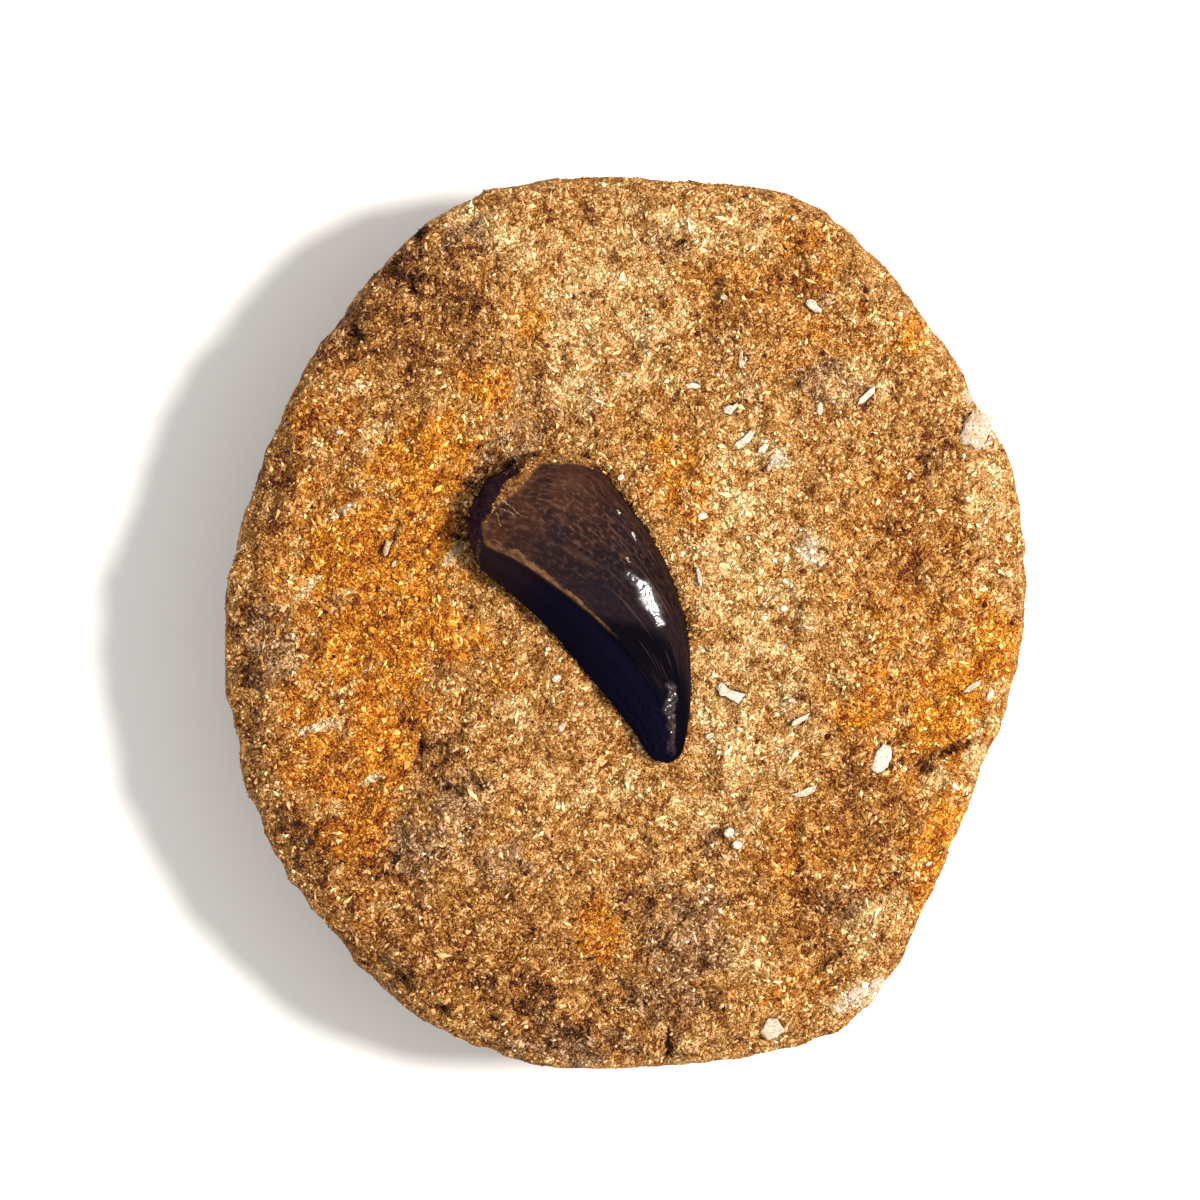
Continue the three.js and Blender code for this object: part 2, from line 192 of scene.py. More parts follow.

# Relief of the rock's face: middle, length, width, height or minus depth, turn in degrees. The
# pits and cracks are also painted darker, the deeper they are, as painted shade.
RELIEFS = [
    (-24.4, -15.6, 5.4, 1.1, -1.7, 84), (-21, -19.6, 3.4, 1.7, -1.5, -20),
    (-17.6, -19.4, 3, 0.9, -1, -40), (-26.8, -20.6, 3.4, 0.9, -0.9, 30),
    (-22, -24.5, 9, 6.5, 0.55, -15), (38.6, -15, 8, 1.2, -2, 22),
    (35.7, -17, 2.4, 1.3, -1.8, 55), (37.4, -18.6, 5, 3.4, 0.7, 15),
    (-24.2, 46.8, 3.4, 1.5, -2, 40), (-27.2, 42.8, 4, 1.5, -2, 50),
    (-25.4, 39.8, 3, 1, -1.6, -65), (-32, 34, 3, 1.4, -1.6, -30),
    (-15.5, 41, 8, 1, -0.7, 85), (35.6, 18.6, 2.4, 0.9, -1.3, 80),
    (33.6, 21.8, 1.5, 1, -1, 0), (4.9, -50, 4.2, 1, -1.6, 82),
    (9.3, -49, 7, 5.2, 0.6, 0), (9.3, -40.4, 2.2, 0.9, -1.2, -50),
    (2.8, -33.4, 2, 0.8, -1, 30), (-26.4, -42.6, 3.2, 0.9, -1.4, -50),
    (-22, -45.8, 3.4, 1, -1.5, -30), (-23.6, -43.6, 5, 3, 0.6, -35),
    (-15.5, -47, 2.4, 1.2, -1.2, -20), (-29.4, 3.8, 1.2, 0.8, -0.9, 70),
    (6.3, 45.3, 2.4, 1.2, -1.1, 30), (4.6, 43, 1.6, 1, -0.9, 0),
    (22, 8.6, 4.4, 5.4, 0.6, 10), (18.4, 19.4, 4.6, 3.6, 0.5, 30),
    (42, 22.5, 4, 5, 0.6, 30), (27.5, -43.6, 8, 4.4, 0.5, 32),
    (24, -40.4, 6, 0.9, -1, 40), (-4, 26, 7, 5, 0.5, 20),
    (-5, 38.5, 8, 5, 0.4, 30), (15, -16.8, 9, 4, 0.4, -15),
    (-37, -12.4, 8, 1.4, 0.5, 14), (-40.4, -2, 5, 7, 0.4, 20),
    (24.5, 30.6, 1.6, 1.1, -1.1, 0), (21.6, 27.4, 1.3, 0.9, -0.9, 40),
    (-17.4, 20.6, 4, 1.4, -0.9, 40)]

# Specks of bone that are too small to be parts: middle, length, width, turn in degrees, and
# how tan they are.
SPECKS = [
    (0, 29.4, 1.6, 0.6, -10, 0.8), (23, 25.3, 1.7, 0.8, 85, 0.3),
    (16.2, 20.6, 1.6, 0.8, 40, 0.3), (17.6, 19.6, 1.3, 0.9, 10, 0.5),
    (17, 18.4, 1.2, 0.6, 70, 0.7), (40.4, 26.6, 1.7, 1.2, 20, 0.6),
    (12.2, -24.8, 1.3, 1, 30, 0), (13.2, -26.3, 1.3, 1, 0, 0),
    (-8.2, -6.6, 1.2, 0.9, 15, 0.3), (-9.2, -3.1, 0.7, 0.6, 0, 0.4),
    (18.7, 1.7, 1, 0.8, 0, 0.2), (9, 12.6, 1.3, 0.9, 20, 0.2),
    (-0.6, 17.2, 0.9, 0.7, 40, 0.1), (8.7, 5.4, 2.5, 0.6, -80, 0.5),
    (19.6, -9.2, 0.9, 0.6, 0, 0.5), (-27.5, 7, 1, 0.5, 60, 0.7),
    (43.2, -8.6, 1.6, 0.7, 60, 0.2), (29.8, -42.8, 2, 1.4, 30, 0.5),
    (27, -44, 1.8, 1.2, 50, 0.6), (11.6, 38.6, 0.9, 0.7, 0, 0.4),
    (19.9, 48, 0.8, 0.5, 50, 0.3), (9.9, -13.4, 1.2, 0.7, 30, 0.5),
    (-5.4, -9.6, 0.9, 0.6, 0, 0.7), (-7.6, -12.4, 1.3, 0.8, 60, 0.5),
    (36, -28.6, 0.9, 0.5, 30, 0.6), (-33.9, 22.6, 0.9, 0.6, 0, 0.6),
    (33.6, 17.4, 1, 0.6, 70, 0.6),
]

random = np.random.default_rng(7)

# ---------------------------------------------------------------- numbers


def smoothstep(value, low, high):
    share = np.clip((value - low) / (high - low), 0, 1)
    return share * share * (3 - 2 * share)


NOISE_VALUES = np.random.default_rng(11).uniform(-1, 1, 8191)
NOISE_TURN = np.array([[0.36, 0.48, -0.8], [-0.8, 0.6, 0.0], [0.48, 0.64, 0.6]])


def noise(points, size, seed=0):
    """A smooth random value from -1 to 1 for each point of a list or a grid, which changes over
    about size."""
    cell = points.reshape(-1, 3) @ NOISE_TURN / size + 31.7 * seed
    low = np.floor(cell).astype(np.int64)
    fade = cell - low
    fade = fade * fade * (3 - 2 * fade)
    value = np.zeros(len(cell))
    for corner in itertools.product((0, 1), repeat=3):
        key = (low + corner) @ (73856093, 19349663, 83492791)
        weight = np.prod(np.where(corner, fade, 1 - fade), axis=1)
        value += NOISE_VALUES[key % len(NOISE_VALUES)] * weight
    return value.reshape(points.shape[:-1])


def fractal(points, size, octaves, seed=0):
    """Noise with finer and fainter noise added to it."""
    return sum(noise(points, size / 2**i, seed + i) / 2**i for i in range(octaves))


def plan_curve(points, count):
    """count + 1 points at even steps along a centripetal Catmull-Rom curve."""
    p = np.array(points, float)
    p = np.vstack([2 * p[0] - p[1], p, 2 * p[-1] - p[-2]])
    dense = []
    for a, b, c, d in zip(p, p[1:], p[2:], p[3:]):
        t1 = np.linalg.norm(b - a) ** 0.5
        t2 = t1 + np.linalg.norm(c - b) ** 0.5
        t3 = t2 + np.linalg.norm(d - c) ** 0.5
        t = np.linspace(t1, t2, 60)[:, None]
        ab = a + (b - a) * t / t1
        bc = b + (c - b) * (t - t1) / (t2 - t1)
        cd = c + (d - c) * (t - t2) / (t3 - t2)
        abc = ab + (bc - ab) * t / t2
        bcd = bc + (cd - bc) * (t - t1) / (t3 - t1)
        dense.append(abc + (bcd - abc) * (t - t1) / (t2 - t1))
    dense = np.vstack(dense)
    way = np.concatenate([[0], np.cumsum(np.linalg.norm(np.diff(dense, axis=0), axis=1))])
    steps = np.linspace(0, way[-1], count + 1)
    return np.stack([np.interp(steps, way, dense[:, i]) for i in (0, 1)], axis=1)


# ---------------------------------------------------------------- meshes


def mesh_object(name, points, faces, smooth=True):
    """An object from points in millimetres and a list or an array of faces."""
    mesh = bpy.data.meshes.new(name)
    faces = np.asarray(faces)
    mesh.vertices.add(len(points))
    mesh.vertices.foreach_set("co", (points * MM).astype(np.float32).ravel())
    mesh.loops.add(faces.size)
    mesh.loops.foreach_set("vertex_index", faces.ravel().astype(np.int32))
    mesh.polygons.add(len(faces))
    mesh.polygons.foreach_set("loop_start", np.arange(0, faces.size, faces.shape[1], np.int32))
    mesh.update(calc_edges=True)
    mesh.polygons.foreach_set("use_smooth", np.full(len(faces), smooth))
    mesh.validate()
    made = bpy.data.objects.new(name, mesh)
    bpy.context.collection.objects.link(made)
    return made


def values_of(layer, field, width=1, kind=np.float32):
    """A mesh's values, as rows of width numbers."""
    values = np.empty(width * len(layer), kind)
    layer.foreach_get(field, values)
    return values.reshape(-1, width)


def points_of(mesh):
    """A mesh's points in millimetres."""
    return values_of(mesh.vertices, "co", 3).astype(float) / MM


def normals_of(mesh):
    return values_of(mesh.vertices, "normal", 3).astype(float)


def add_values(piece, name, values):
    """Stores a number, a vector or a colour for each point of a piece."""
    kinds = {1: ("FLOAT", "value"), 3: ("FLOAT_VECTOR", "vector"), 4: ("FLOAT_COLOR", "color")}
    kind, field = kinds[values.shape[1] if values.ndim > 1 else 1]
    layer = piece.data.attributes.new(name, kind, "POINT")
    layer.data.foreach_set(field, np.ascontiguousarray(values, np.float32).ravel())


def add_map(piece, places):
    """Gives a piece the UV map that its colours are baked with: a place for each face corner."""
    layer = piece.data.uv_layers.new(name="OFBake", do_init=False)
    layer.uv.foreach_set("vector", np.ascontiguousarray(places, np.float32).ravel())


def tree_of(objects):
    """A search tree over the surfaces of some objects, in millimetres."""
    corners, faces = [], []
    for o in objects:
        faces += [[len(corners) + i for i in p.vertices] for p in o.data.polygons]
        corners += [v.co / MM for v in o.data.vertices]
    return BVHTree.FromPolygons(corners, faces)


def grid_faces(rows, columns):
    """Faces of a tube of rows by columns points, with the columns joined in a ring."""
    row = np.arange(rows - 1)[:, None] * columns
    here = np.arange(columns)[None, :]
    there = (here + 1) % columns
    square = [row + here, row + there, row + columns + there, row + columns + here]
    return np.stack(square, axis=2).reshape(-1, 4)


def grid_normals(grid):
    """Outward unit normals of a tube of rows by columns points."""
    down = np.gradient(grid, axis=0)
    around = np.roll(grid, -1, axis=1) - np.roll(grid, 1, axis=1)
    normals = np.cross(around, down)
    return normals / np.maximum(np.linalg.norm(normals, axis=2, keepdims=True), 1e-9)


def capped(grid, inside_out=False):
    """Points and triangles of a tube of rows by columns points, with its two ends closed."""
    rows, columns = grid.shape[:2]
    tube = grid_faces(rows, columns)[:, ::-1]
    count = rows * columns
    here = np.arange(columns)
    there = (here + 1) % columns
    last = count - columns
    first_end = np.stack([np.full_like(here, count), here, there], axis=1)
    last_end = np.stack([np.full_like(here, count + 1), last + there, last + here], axis=1)
    points = np.vstack([grid.reshape(-1, 3), grid[0].mean(0), grid[-1].mean(0)])
    triangles = np.vstack([tube[:, [0, 1, 2]], tube[:, [0, 2, 3]], first_end, last_end])
    return points, triangles[:, ::-1] if inside_out else triangles


def tube_map(triangles, rows, columns):
    """A place in a map for each corner of a capped tube's triangles: round it and along it."""
    count = rows * columns
    row, column = triangles // columns, (triangles % columns).astype(float)
    pole = triangles >= count
    row = np.where(triangles == count, -1, np.where(triangles == count + 1, rows, row))
    column[pole] = np.nan
    spread = np.nanmax(column, axis=1) - np.nanmin(column, axis=1)
    wraps = (spread > columns / 2)[:, None] & (column < columns / 2)
    column = np.where(wraps, column + columns, column)
    column = np.where(pole, np.nanmean(column, axis=1)[:, None], column)
    places = np.stack([(column + 0.5) / (columns + 1), (row + 1.5) / (rows + 2)], axis=2)
    return places.reshape(-1, 2)


# ---------------------------------------------------------------- rock


def turned_offsets(points, x, y, turn):
    """Offsets of points from a place in plan, along and across a direction."""
    angle = math.radians(turn)
    off = points[:, :2] - (x, y)
    return (off[:, 0] * math.cos(angle) + off[:, 1] * math.sin(angle),
            -off[:, 0] * math.sin(angle) + off[:, 1] * math.cos(angle))


def patch_shares(points, jitter=0.0):
    """How strongly each kind of patch colours the rock at each point: orange, pale, grey and
    dark. The dark share is over 1 only in pits and cracks. The shares fade out down the walls.
    jitter blurs the patches' edges."""
    shares = np.zeros((len(points), len(PATCHES)))
    wander = np.stack([fractal(points, 6, 4, 40 + i) for i in (0, 1)], axis=1)
    ragged = 1 + 0.3 * fractal(points, 1.6, 2, 46) + jitter
    moved = points.copy()
    for share, patches in zip(shares.T, PATCHES.values()):
        for x, y, length, width, turn, strength in patches:
            moved[:, :2] = points[:, :2] + wander * 0.3 * min(length, width)
            u, v = turned_offsets(moved, x, y, turn)
            reach = np.hypot(u / length, v / width) / ragged
            np.maximum(share, strength * smoothstep(reach, 1.35, 0.45), out=share)
    dark = shares[:, -1]
    moved[:, :2] = points[:, :2] + wander * 0.25
    # The pits and cracks are painted darker the deeper they are: painted shade in the recesses.
    for x, y, length, width, high, turn in RELIEFS:
        if high < 0:
            u, v = turned_offsets(moved, x, y, turn)
            reach = 2 * np.hypot(u / length, v / width) / ragged
            pit = -high * smoothstep(reach, 1.2, 0.4) * smoothstep(points[:, 2], *PIT_FADE)
            np.maximum(dark, pit, out=dark)
    return shares * smoothstep(points[:, 2] + 3 * wander[:, 0], *PATCH_FADE)[:, None]


def face_relief(points):
    """Height of the crusts and depth of the pits and cracks at each point of the face."""
    height = np.zeros(len(points))
    wander = np.stack([fractal(points, 2.2, 2, 50 + i) for i in (0, 1)], axis=1)
    moved = points.copy()
    for x, y, length, width, high, turn in RELIEFS:
        moved[:, :2] = points[:, :2] + wander * 0.4 * min(width, 2)
        u, v = turned_offsets(moved, x, y, turn)
        reach = 2 * np.hypot(u / length, v / width)
        height += high * smoothstep(reach, 1.2, 0.75 if high > 0 else 0.2)
    return height


def relief(points, normals):
    """How far the rock's surface stands out from the smooth slab at each point."""
    up = smoothstep(normals[:, 2], 0.3, 0.8)
    side = 1 - smoothstep(np.abs(normals[:, 2]), 0.4, 0.9)
    broad = 0.3 * noise(points, 15, 1) + 0.35 * noise(points, 6.5, 2)
    fine = 0.6 * noise(points, 3.2, 3) + 0.6 * noise(points, 1.7, 4)
    fine = fine + 0.55 * smoothstep(noise(points, 2.4, 5), 0.1, 0.4)
    fine = fine - 0.4 * smoothstep(noise(points, 2.9, 9), 0.35, 0.6)
    fine = fine * (1 - 0.7 * side)
    lumps = 0.35 * noise(points, 9, 6) + 0.15 * noise(points, 3.6, 7)
    bites = -0.4 * smoothstep(noise(points, 5.5, 8), 0.3, 0.7)
    out = broad + fine + side * (lumps + bites) + up * face_relief(points)
    return out * smoothstep(points[:, 2], 0.05, FOOT_FADE)


def rock_mesh():
    """The CAD slab remeshed in even squares: its points, their normals, and its faces."""
    source = bpy.data.objects.new("slab_source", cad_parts["matrix"].data.copy())
    bpy.context.collection.objects.link(source)
    remesh = source.modifiers.new("squares", "REMESH")
    remesh.mode = "VOXEL"
    remesh.voxel_size = VOXEL * MM
    even = bpy.data.meshes.new_from_object(
        source.evaluated_get(bpy.context.evaluated_depsgraph_get()))
    bpy.data.objects.remove(source)
    if len(even.loops) != 4 * len(even.polygons):
        raise ValueError("the remeshed rock isn't all squares")
    faces = values_of(even.loops, "vertex_index", 1, np.int32).reshape(-1, 4)
    return points_of(even), normals_of(even), faces


def settle_round(points, start, inlaid):
    """Brings the rock close up to what lies in it: the walls of the sockets, and what the
    roughness would push into the tooth or the bones."""
    for i in range(len(points)):
        near = inlaid.find_nearest(start[i], SETTLE_REACH)
        if near[0] is None:
            continue
        wall = near[3] < SOCKET_REACH
        spot, normal, _, _ = inlaid.find_nearest(points[i], SETTLE_SEARCH)
        if spot is None:
            continue
        off = (Vector(points[i]) - spot).dot(normal)
        if wall or off < CONTACT_GAP:
            points[i] = spot + normal * CONTACT_GAP
    return points


def build_rock(inlaid):
    start, normals, faces = rock_mesh()
    points = start + normals * relief(start, normals)[:, None]
    points = settle_round(points, start, inlaid)
    low = np.array(cad_box[0]) / MM
    high = np.array(cad_box[1]) / MM
    points = np.clip(points, low, high)
    rock = mesh_object("rock", points, faces)
    add_values(rock, "patches", patch_shares(points))
    add_map(rock, slab_map(points, faces, low, high))
    return rock


def slab_map(points, faces, low, high):
    """A place in a map for each corner of the slab's faces: the face large, the walls in a
    strip below it, and the underside small beside it."""
    corners = points[faces]
    across = corners[:, 2] - corners[:, 0]
    over = corners[:, 3] - corners[:, 1]
    normals = np.cross(across, over)
    normals /= np.maximum(np.linalg.norm(normals, axis=1, keepdims=True), 1e-9)
    middle = (low + high)[:2] / 2
    off = corners[..., :2] - middle
    turn = np.arctan2(off[..., 1], off[..., 0])
    turn = np.where(turn - turn[:, :1] > np.pi, turn - 2 * np.pi, turn)
    turn = np.where(turn - turn[:, :1] < -np.pi, turn + 2 * np.pi, turn)
    size = (high - low)[:2].max()
    slanted = off + corners[..., 2:] * (0.3, 0.2) - np.array((0.3, 0.2)) * high[2] * 0.7
    face = (0.345, 0.645) + slanted / size * 0.64
    underside = (0.85, 0.8) + off / size * 0.26
    wall = np.stack([0.5 + turn / np.pi * 0.49, 0.01 + corners[..., 2] / high[2] * 0.24], axis=2)
    far = np.linalg.norm(off, axis=2).mean(axis=1) > 0.36 * size
    is_wall = (np.abs(normals[:, 2]) < 0.5) & far
    places = np.where((normals[:, 2] > 0)[:, None, None], face, underside)
    places = np.where(is_wall[:, None, None], wall, places)
    return places.reshape(-1, 2)


# ---------------------------------------------------------------- sand

# The shape that a grain is made from: two points and a ring of five between them.
RING = np.arange(5) * 2 * np.pi / 5
CRUMB = np.vstack([(1, 0, 0), np.stack([0 * RING, np.cos(RING), np.sin(RING)], axis=1),
                   (-1, 0, 0)])
CRUMB_FACES = np.array([(0, 1 + i, 1 + (i + 1) % 5) for i in range(5)]
                       + [(6, 1 + (i + 1) % 5, 1 + i) for i in range(5)])
# The two forms of grain: its size in millimetres, how far it is stretched each way, how far
# from flat it lies, and whether its corners are worn round.
WORN = {"size": 0.38, "stretch": (1.4, 1.0, 0.75), "tilt": 0.6, "smooth": True}
SHARD = {"size": 0.36, "stretch": (2.1, 0.85, 0.55), "tilt": 0.35, "smooth": False}


def scattered(surface, density, count):
    """Random places on a surface: points and the surface's normals there. density() gives how
    thickly they lie, from a face's middle and normal."""
    mesh = surface.data
    mesh.calc_loop_triangles()
    a, b, c = points_of(mesh)[values_of(mesh.loop_triangles, "vertices", 3, np.int32).T]
    cross = np.cross(b - a, c - a)
    area = np.linalg.norm(cross, axis=1) / 2
    normals = cross / np.maximum(2 * area, 1e-9)[:, None]
    weight = np.cumsum(area * density((a + b + c) / 3, normals))
    steps = (np.arange(count) + random.uniform(0, 1, count)) / count * weight[-1]
    chosen = np.searchsorted(weight, steps).clip(0, len(weight) - 1)
    u, v = random.uniform(0, 1, (2, count, 1))
    over = u + v > 1
    u, v = np.where(over, 1 - u, u), np.where(over, 1 - v, v)
    points = a[chosen] + u * (b - a)[chosen] + v * (c - a)[chosen]
    return points, normals[chosen]


def laid_turns(points, normals, tilt):
    """Rotation matrices that lay grains down on a surface, each tilted and turned at random,
    but more of them along the rock's bedding, which bends a little from place to place. Their
    columns are a grain's length, width and thickness."""
    thick = normals + tilt * random.normal(size=normals.shape)
    thick /= np.linalg.norm(thick, axis=1, keepdims=True)
    bedding = math.radians(BEDDING) + 1.2 * noise(points, 14, 30)
    across = np.stack([-np.sin(bedding), np.cos(bedding), 0 * bedding], axis=1)
    long_way = np.cross(thick, 0.8 * across + random.normal(size=normals.shape))
    long_way /= np.linalg.norm(long_way, axis=1, keepdims=True)
    return np.stack([long_way, np.cross(thick, long_way), thick], axis=2)


def outside(points, inlaid, room):
    """Which points aren't in, or under, what lies in the rock. room is what each one needs."""
    kept = np.ones(len(points), bool)
    for i, (point, clear) in enumerate(zip(points, room)):
        spot, normal, _, apart = inlaid.find_nearest(point, INLAY_SEARCH)
        if spot is not None:
            kept[i] = (Vector(point) - spot).dot(normal) > clear
            if kept[i] and apart < OVERHANG_REACH:
                kept[i] = inlaid.ray_cast(point, (0, 0, 1))[0] is None
    return kept


def build_grains(name, points, normals, sizes, form, tone=0.0, spread=1.0):
    """One piece made of grains, each turned, stretched and roughened at random. Each has one
    colour, that of the place where it lies, made lighter or darker by its tone."""
    count, corners = len(points), len(CRUMB)
    stretch = random.uniform(0.65, 1.35, (count, 1, 3)) * form["stretch"]
    shape = CRUMB + random.uniform(-0.3, 0.3, (count, corners, 3))
    grains = shape * stretch * sizes[:, None, None] / 2
    grains = np.einsum("nij,nkj->nki", laid_turns(points, normals, form["tilt"]), grains)
    sunk = sizes * random.uniform(-0.25, 0.12, count)
    grains += (points + normals * sunk[:, None])[:, None]
    offsets = np.arange(count)[:, None, None] * corners
    faces = (CRUMB_FACES + offsets).reshape(-1, 3)
    piece = mesh_object(name, grains.reshape(-1, 3), faces, form["smooth"])
    shares = patch_shares(points, random.uniform(-0.12, 0.12, count))
    add_values(piece, "patches", np.repeat(shares, corners, axis=0))
    tones = tone + spread * random.normal(0, 1, count).clip(-2, 3)
    add_values(piece, "tone", np.repeat(tones, corners))
    add_values(piece, "middle", np.repeat(points, corners, axis=0))
    # The map for baking gives each grain a square of its own.
    side = math.ceil(count**0.5)
    square = np.stack([np.arange(count) % side, np.arange(count) // side], axis=1)
    flat = 0.5 + 0.4 * (CRUMB[:, :2] * (1, 0.7) + CRUMB[:, 2:] * (0.1, 0.3))
    at = (square[:, None] + flat) / side
    add_map(piece, at[:, CRUMB_FACES.ravel()].reshape(-1, 2))
    return piece


def grain_density(middles, normals):
    """How thickly the grains lie: close together on the face, and thin on the walls."""
    face = smoothstep(normals[:, 2], 0.1, 0.5) * smoothstep(middles[:, 2], 14, 20)
    wall = smoothstep(middles[:, 2], 1.0, 1.6) * (normals[:, 2] > -0.4)
    return np.maximum(face, 0.22 * wall)


def build_sand(rock, inlaid):
    """The sand that the rock's surface is made of: worn grains and sharp ones."""
    pieces = []
    for name, form in (("sand_worn_1", WORN), ("sand_worn_2", WORN),
                       ("sand_sharp_1", SHARD), ("sand_sharp_2", SHARD)):
        points, normals = scattered(rock, grain_density, GRAIN_COUNT)
        sizes = form["size"] * np.exp(random.normal(0, 0.35, GRAIN_COUNT)).clip(0.5, 1.9)
        sizes *= 1 - 0.4 * smoothstep(normals[:, 2], 0.7, 0.3)
        kept = outside(points, inlaid, 0.2 * sizes)
        kept &= points[:, 2] > GRAIN_FLOOR
        pieces.append(build_grains(name, points[kept], normals[kept], sizes[kept], form))
    return pieces


def build_rim_sand(tooth):
    """The sand that clings to the crown's rim, where the tooth's crust value is high."""
    points, normals = points_of(tooth.data), normals_of(tooth.data)
    crust = values_of(tooth.data.attributes["crust"].data, "value")[:, 0].astype(float)
    weight = crust**2 * (normals[:, 2] > 0)
    chosen = random.choice(len(points), RIM_GRAIN_COUNT, p=weight / weight.sum())
    sizes = 0.2 * np.exp(random.normal(0, 0.3, len(chosen))).clip(0.6, 1.8)
    return build_grains("sand_rim", points[chosen], normals[chosen], sizes, WORN, -2.0, 0.5)


# ---------------------------------------------------------------- tooth


def line_share(grid, lines, fade):
    """How much each point belongs to some lines in plan: 1 near a line, 0 out of its reach."""
    share = np.zeros(grid.shape[:2])
    off_line = LINE_WANDER * np.stack([fractal(grid, 1.2, 3, 66 + i) for i in (0, 1)], axis=2)
    for x0, y0, x1, y1, reach in lines:
        start, way = np.array((x0, y0)), np.array((x1 - x0, y1 - y0))
        off = grid[..., :2] + off_line - start
        part = np.clip(off @ way / (way @ way), 0, 1)[..., None]
        apart = np.linalg.norm(off - part * way, axis=2)
        share = np.maximum(share, smoothstep(apart, reach, reach * fade))
    return share


def section(turn, ridge_turn):
    """The tooth's section at a turn from its outer edge: across it, from -1 at the inner edge
    to 1, and up. From the cutting ridge down to the inner edge it is nearly flat."""
    def round_point(angle):
        return [np.sign(v) * np.abs(v) ** (2 / TOOTH_BLUNTNESS)
                for v in (np.cos(angle), np.sin(angle))]

    across, up = round_point(turn)
    ridge_across, ridge_up = round_point(ridge_turn)
    down = (turn - ridge_turn) / (np.pi - ridge_turn)
    pull = np.where((down > 0) & (down < 1), FLANK_FLATNESS, 0)
    across += pull * (ridge_across + (-1 - ridge_across) * down - across)
    up += pull * (ridge_up * (1 - down) - up)
    return across, up


def tooth_rows():
    """For each row of points, from the middle of the broken end to the tip: the way along the
    crown, and the share of the section's size. The rows lie closer together near the tip."""
    end = np.linspace(0.02, 1, END_RINGS, endpoint=False) ** 0.8
    skin = 1 - (1 - np.arange(SKIN_RINGS) / SKIN_RINGS) ** 1.25
    along = np.concatenate([np.zeros(END_RINGS), skin])
    size = np.concatenate([end, np.ones(SKIN_RINGS)])
    return along, size


def crown_shape():
    """The crown's smooth skin as a grid of points. With it come values that fit the grid: the
    way along the crown, the share of the section's size, the crown's width, the way across it,
    and the turn from the cutting ridge in degrees."""
    along, size = tooth_rows()
    step = np.round(along * EDGE_STEPS).astype(int)
    outer = plan_curve(OUTER_EDGE, EDGE_STEPS)[step]
    inner = plan_curve(INNER_EDGE, EDGE_STEPS)[step]
    width = np.linalg.norm(outer - inner, axis=1)[:, None]
    across_root = (outer[0] - inner[0]) / width[0]
    back_root = np.array([-across_root[1], across_root[0]])
    along, size = along[:, None], size[:, None]

    # Turns round the section are counted from the cutting ridge.
    part = np.arange(TOOTH_COLUMNS)[None, :] / TOOTH_COLUMNS
    drift = along**CARINA_DRIFT
    ridge_turn = np.radians(CARINA_TURN[0] + (CARINA_TURN[1] - CARINA_TURN[0]) * drift)
    across, up = section(ridge_turn + 2 * np.pi * part, ridge_turn)
    across, up = across * size, up * size
    bow = FOOT_BOW + (RIM_BOW - FOOT_BOW) * np.maximum(0, up)
    back = bow * (1 - across**2) * (1 - along) ** 4
    plan = inner[:, None] + (outer - inner)[:, None] * ((1 + across) / 2)[..., None]
    plan = plan + back[..., None] * back_root
    turn = (part * 360 + 180) % 360 - 180
    ridge = CARINA_HEIGHT * np.minimum(1, width / 6) * np.exp(-np.abs(turn) / 3.5) * size**6
    ridge = ridge * smoothstep(along, 1.1, 0.3)
    height = TIP_LIFT * along + np.where(up > 0, TOOTH_RISE, TOOTH_DEPTH) * width * up + ridge
    grid = np.dstack([plan, height])
    grid[..., 2] += np.array(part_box("tooth")[0])[2] / MM - grid[..., 2].min()
    return grid, along, size, width, across, turn


def crown_relief(grid, skin, along, turn):
    """How far the enamel stands out: streaks, ribs, a rough broken end, chips along the rim and
    the ridge, and pits near the tip."""
    from_rim, around = skin[..., 0], skin[..., 1]
    on_skin = smoothstep(from_rim, -0.05, 0.4)
    streaks = fractal(skin * (0.12, 0, 1), 0.9, 3, 60)
    ribs = np.cos(np.radians(turn) * 13 + 0.8 * noise(grid, 9, 61))
    chips = smoothstep(noise(grid, 1.7, 63), 0.2, 0.7)
    near_rim = np.exp(-np.abs(from_rim) / CHIPPED_RIM)
    near_ridge = np.exp(-np.abs(around) / CHIPPED_RIDGE) * smoothstep(along, 0.75, 0.3)
    out = on_skin * (0.03 * streaks + 0.035 * ribs * smoothstep(along, 0, 0.1))
    out = out + (1 - on_skin) * 0.4 * fractal(grid, 1.6, 4, 62) - 0.3 * near_rim * chips
    out = out - 0.12 * near_ridge * chips
    pits = smoothstep(fractal(grid, 0.8, 2, 64), 0.3, 0.8)
    return out - 0.05 * pits * smoothstep(along, 0.55, 0.8)


def crown_crust(grid, skin, across):
    """How much sand clings to each point: on the rim, most of all near the crown's outer edge,
    and on the outer corner."""
    from_rim, around = skin[..., 0], skin[..., 1]
    on_skin = smoothstep(from_rim, -0.05, 0.4)
    reach = 0.12 + 0.5 * smoothstep(noise(grid, 1.6, 65), -0.4, 0.7)
    reach = reach + 1.3 * smoothstep(around, -3.5, -6.5) + 4 * smoothstep(around, -11, -14.5)
    crust = smoothstep(from_rim, reach, reach - 0.45) * smoothstep(from_rim, -0.7, -0.25)
    crust = crust * (0.3 + 0.7 * smoothstep(around, -2.5, -4))
    crust = np.maximum(crust, 0.9 * line_share(grid, STUCK_SAND, 0.4))
    corner = smoothstep(across + 0.25 * fractal(grid, 1.6, 4, 62), 0.45, 0.8)
    return np.maximum(crust, 0.9 * (1 - on_skin) * corner)


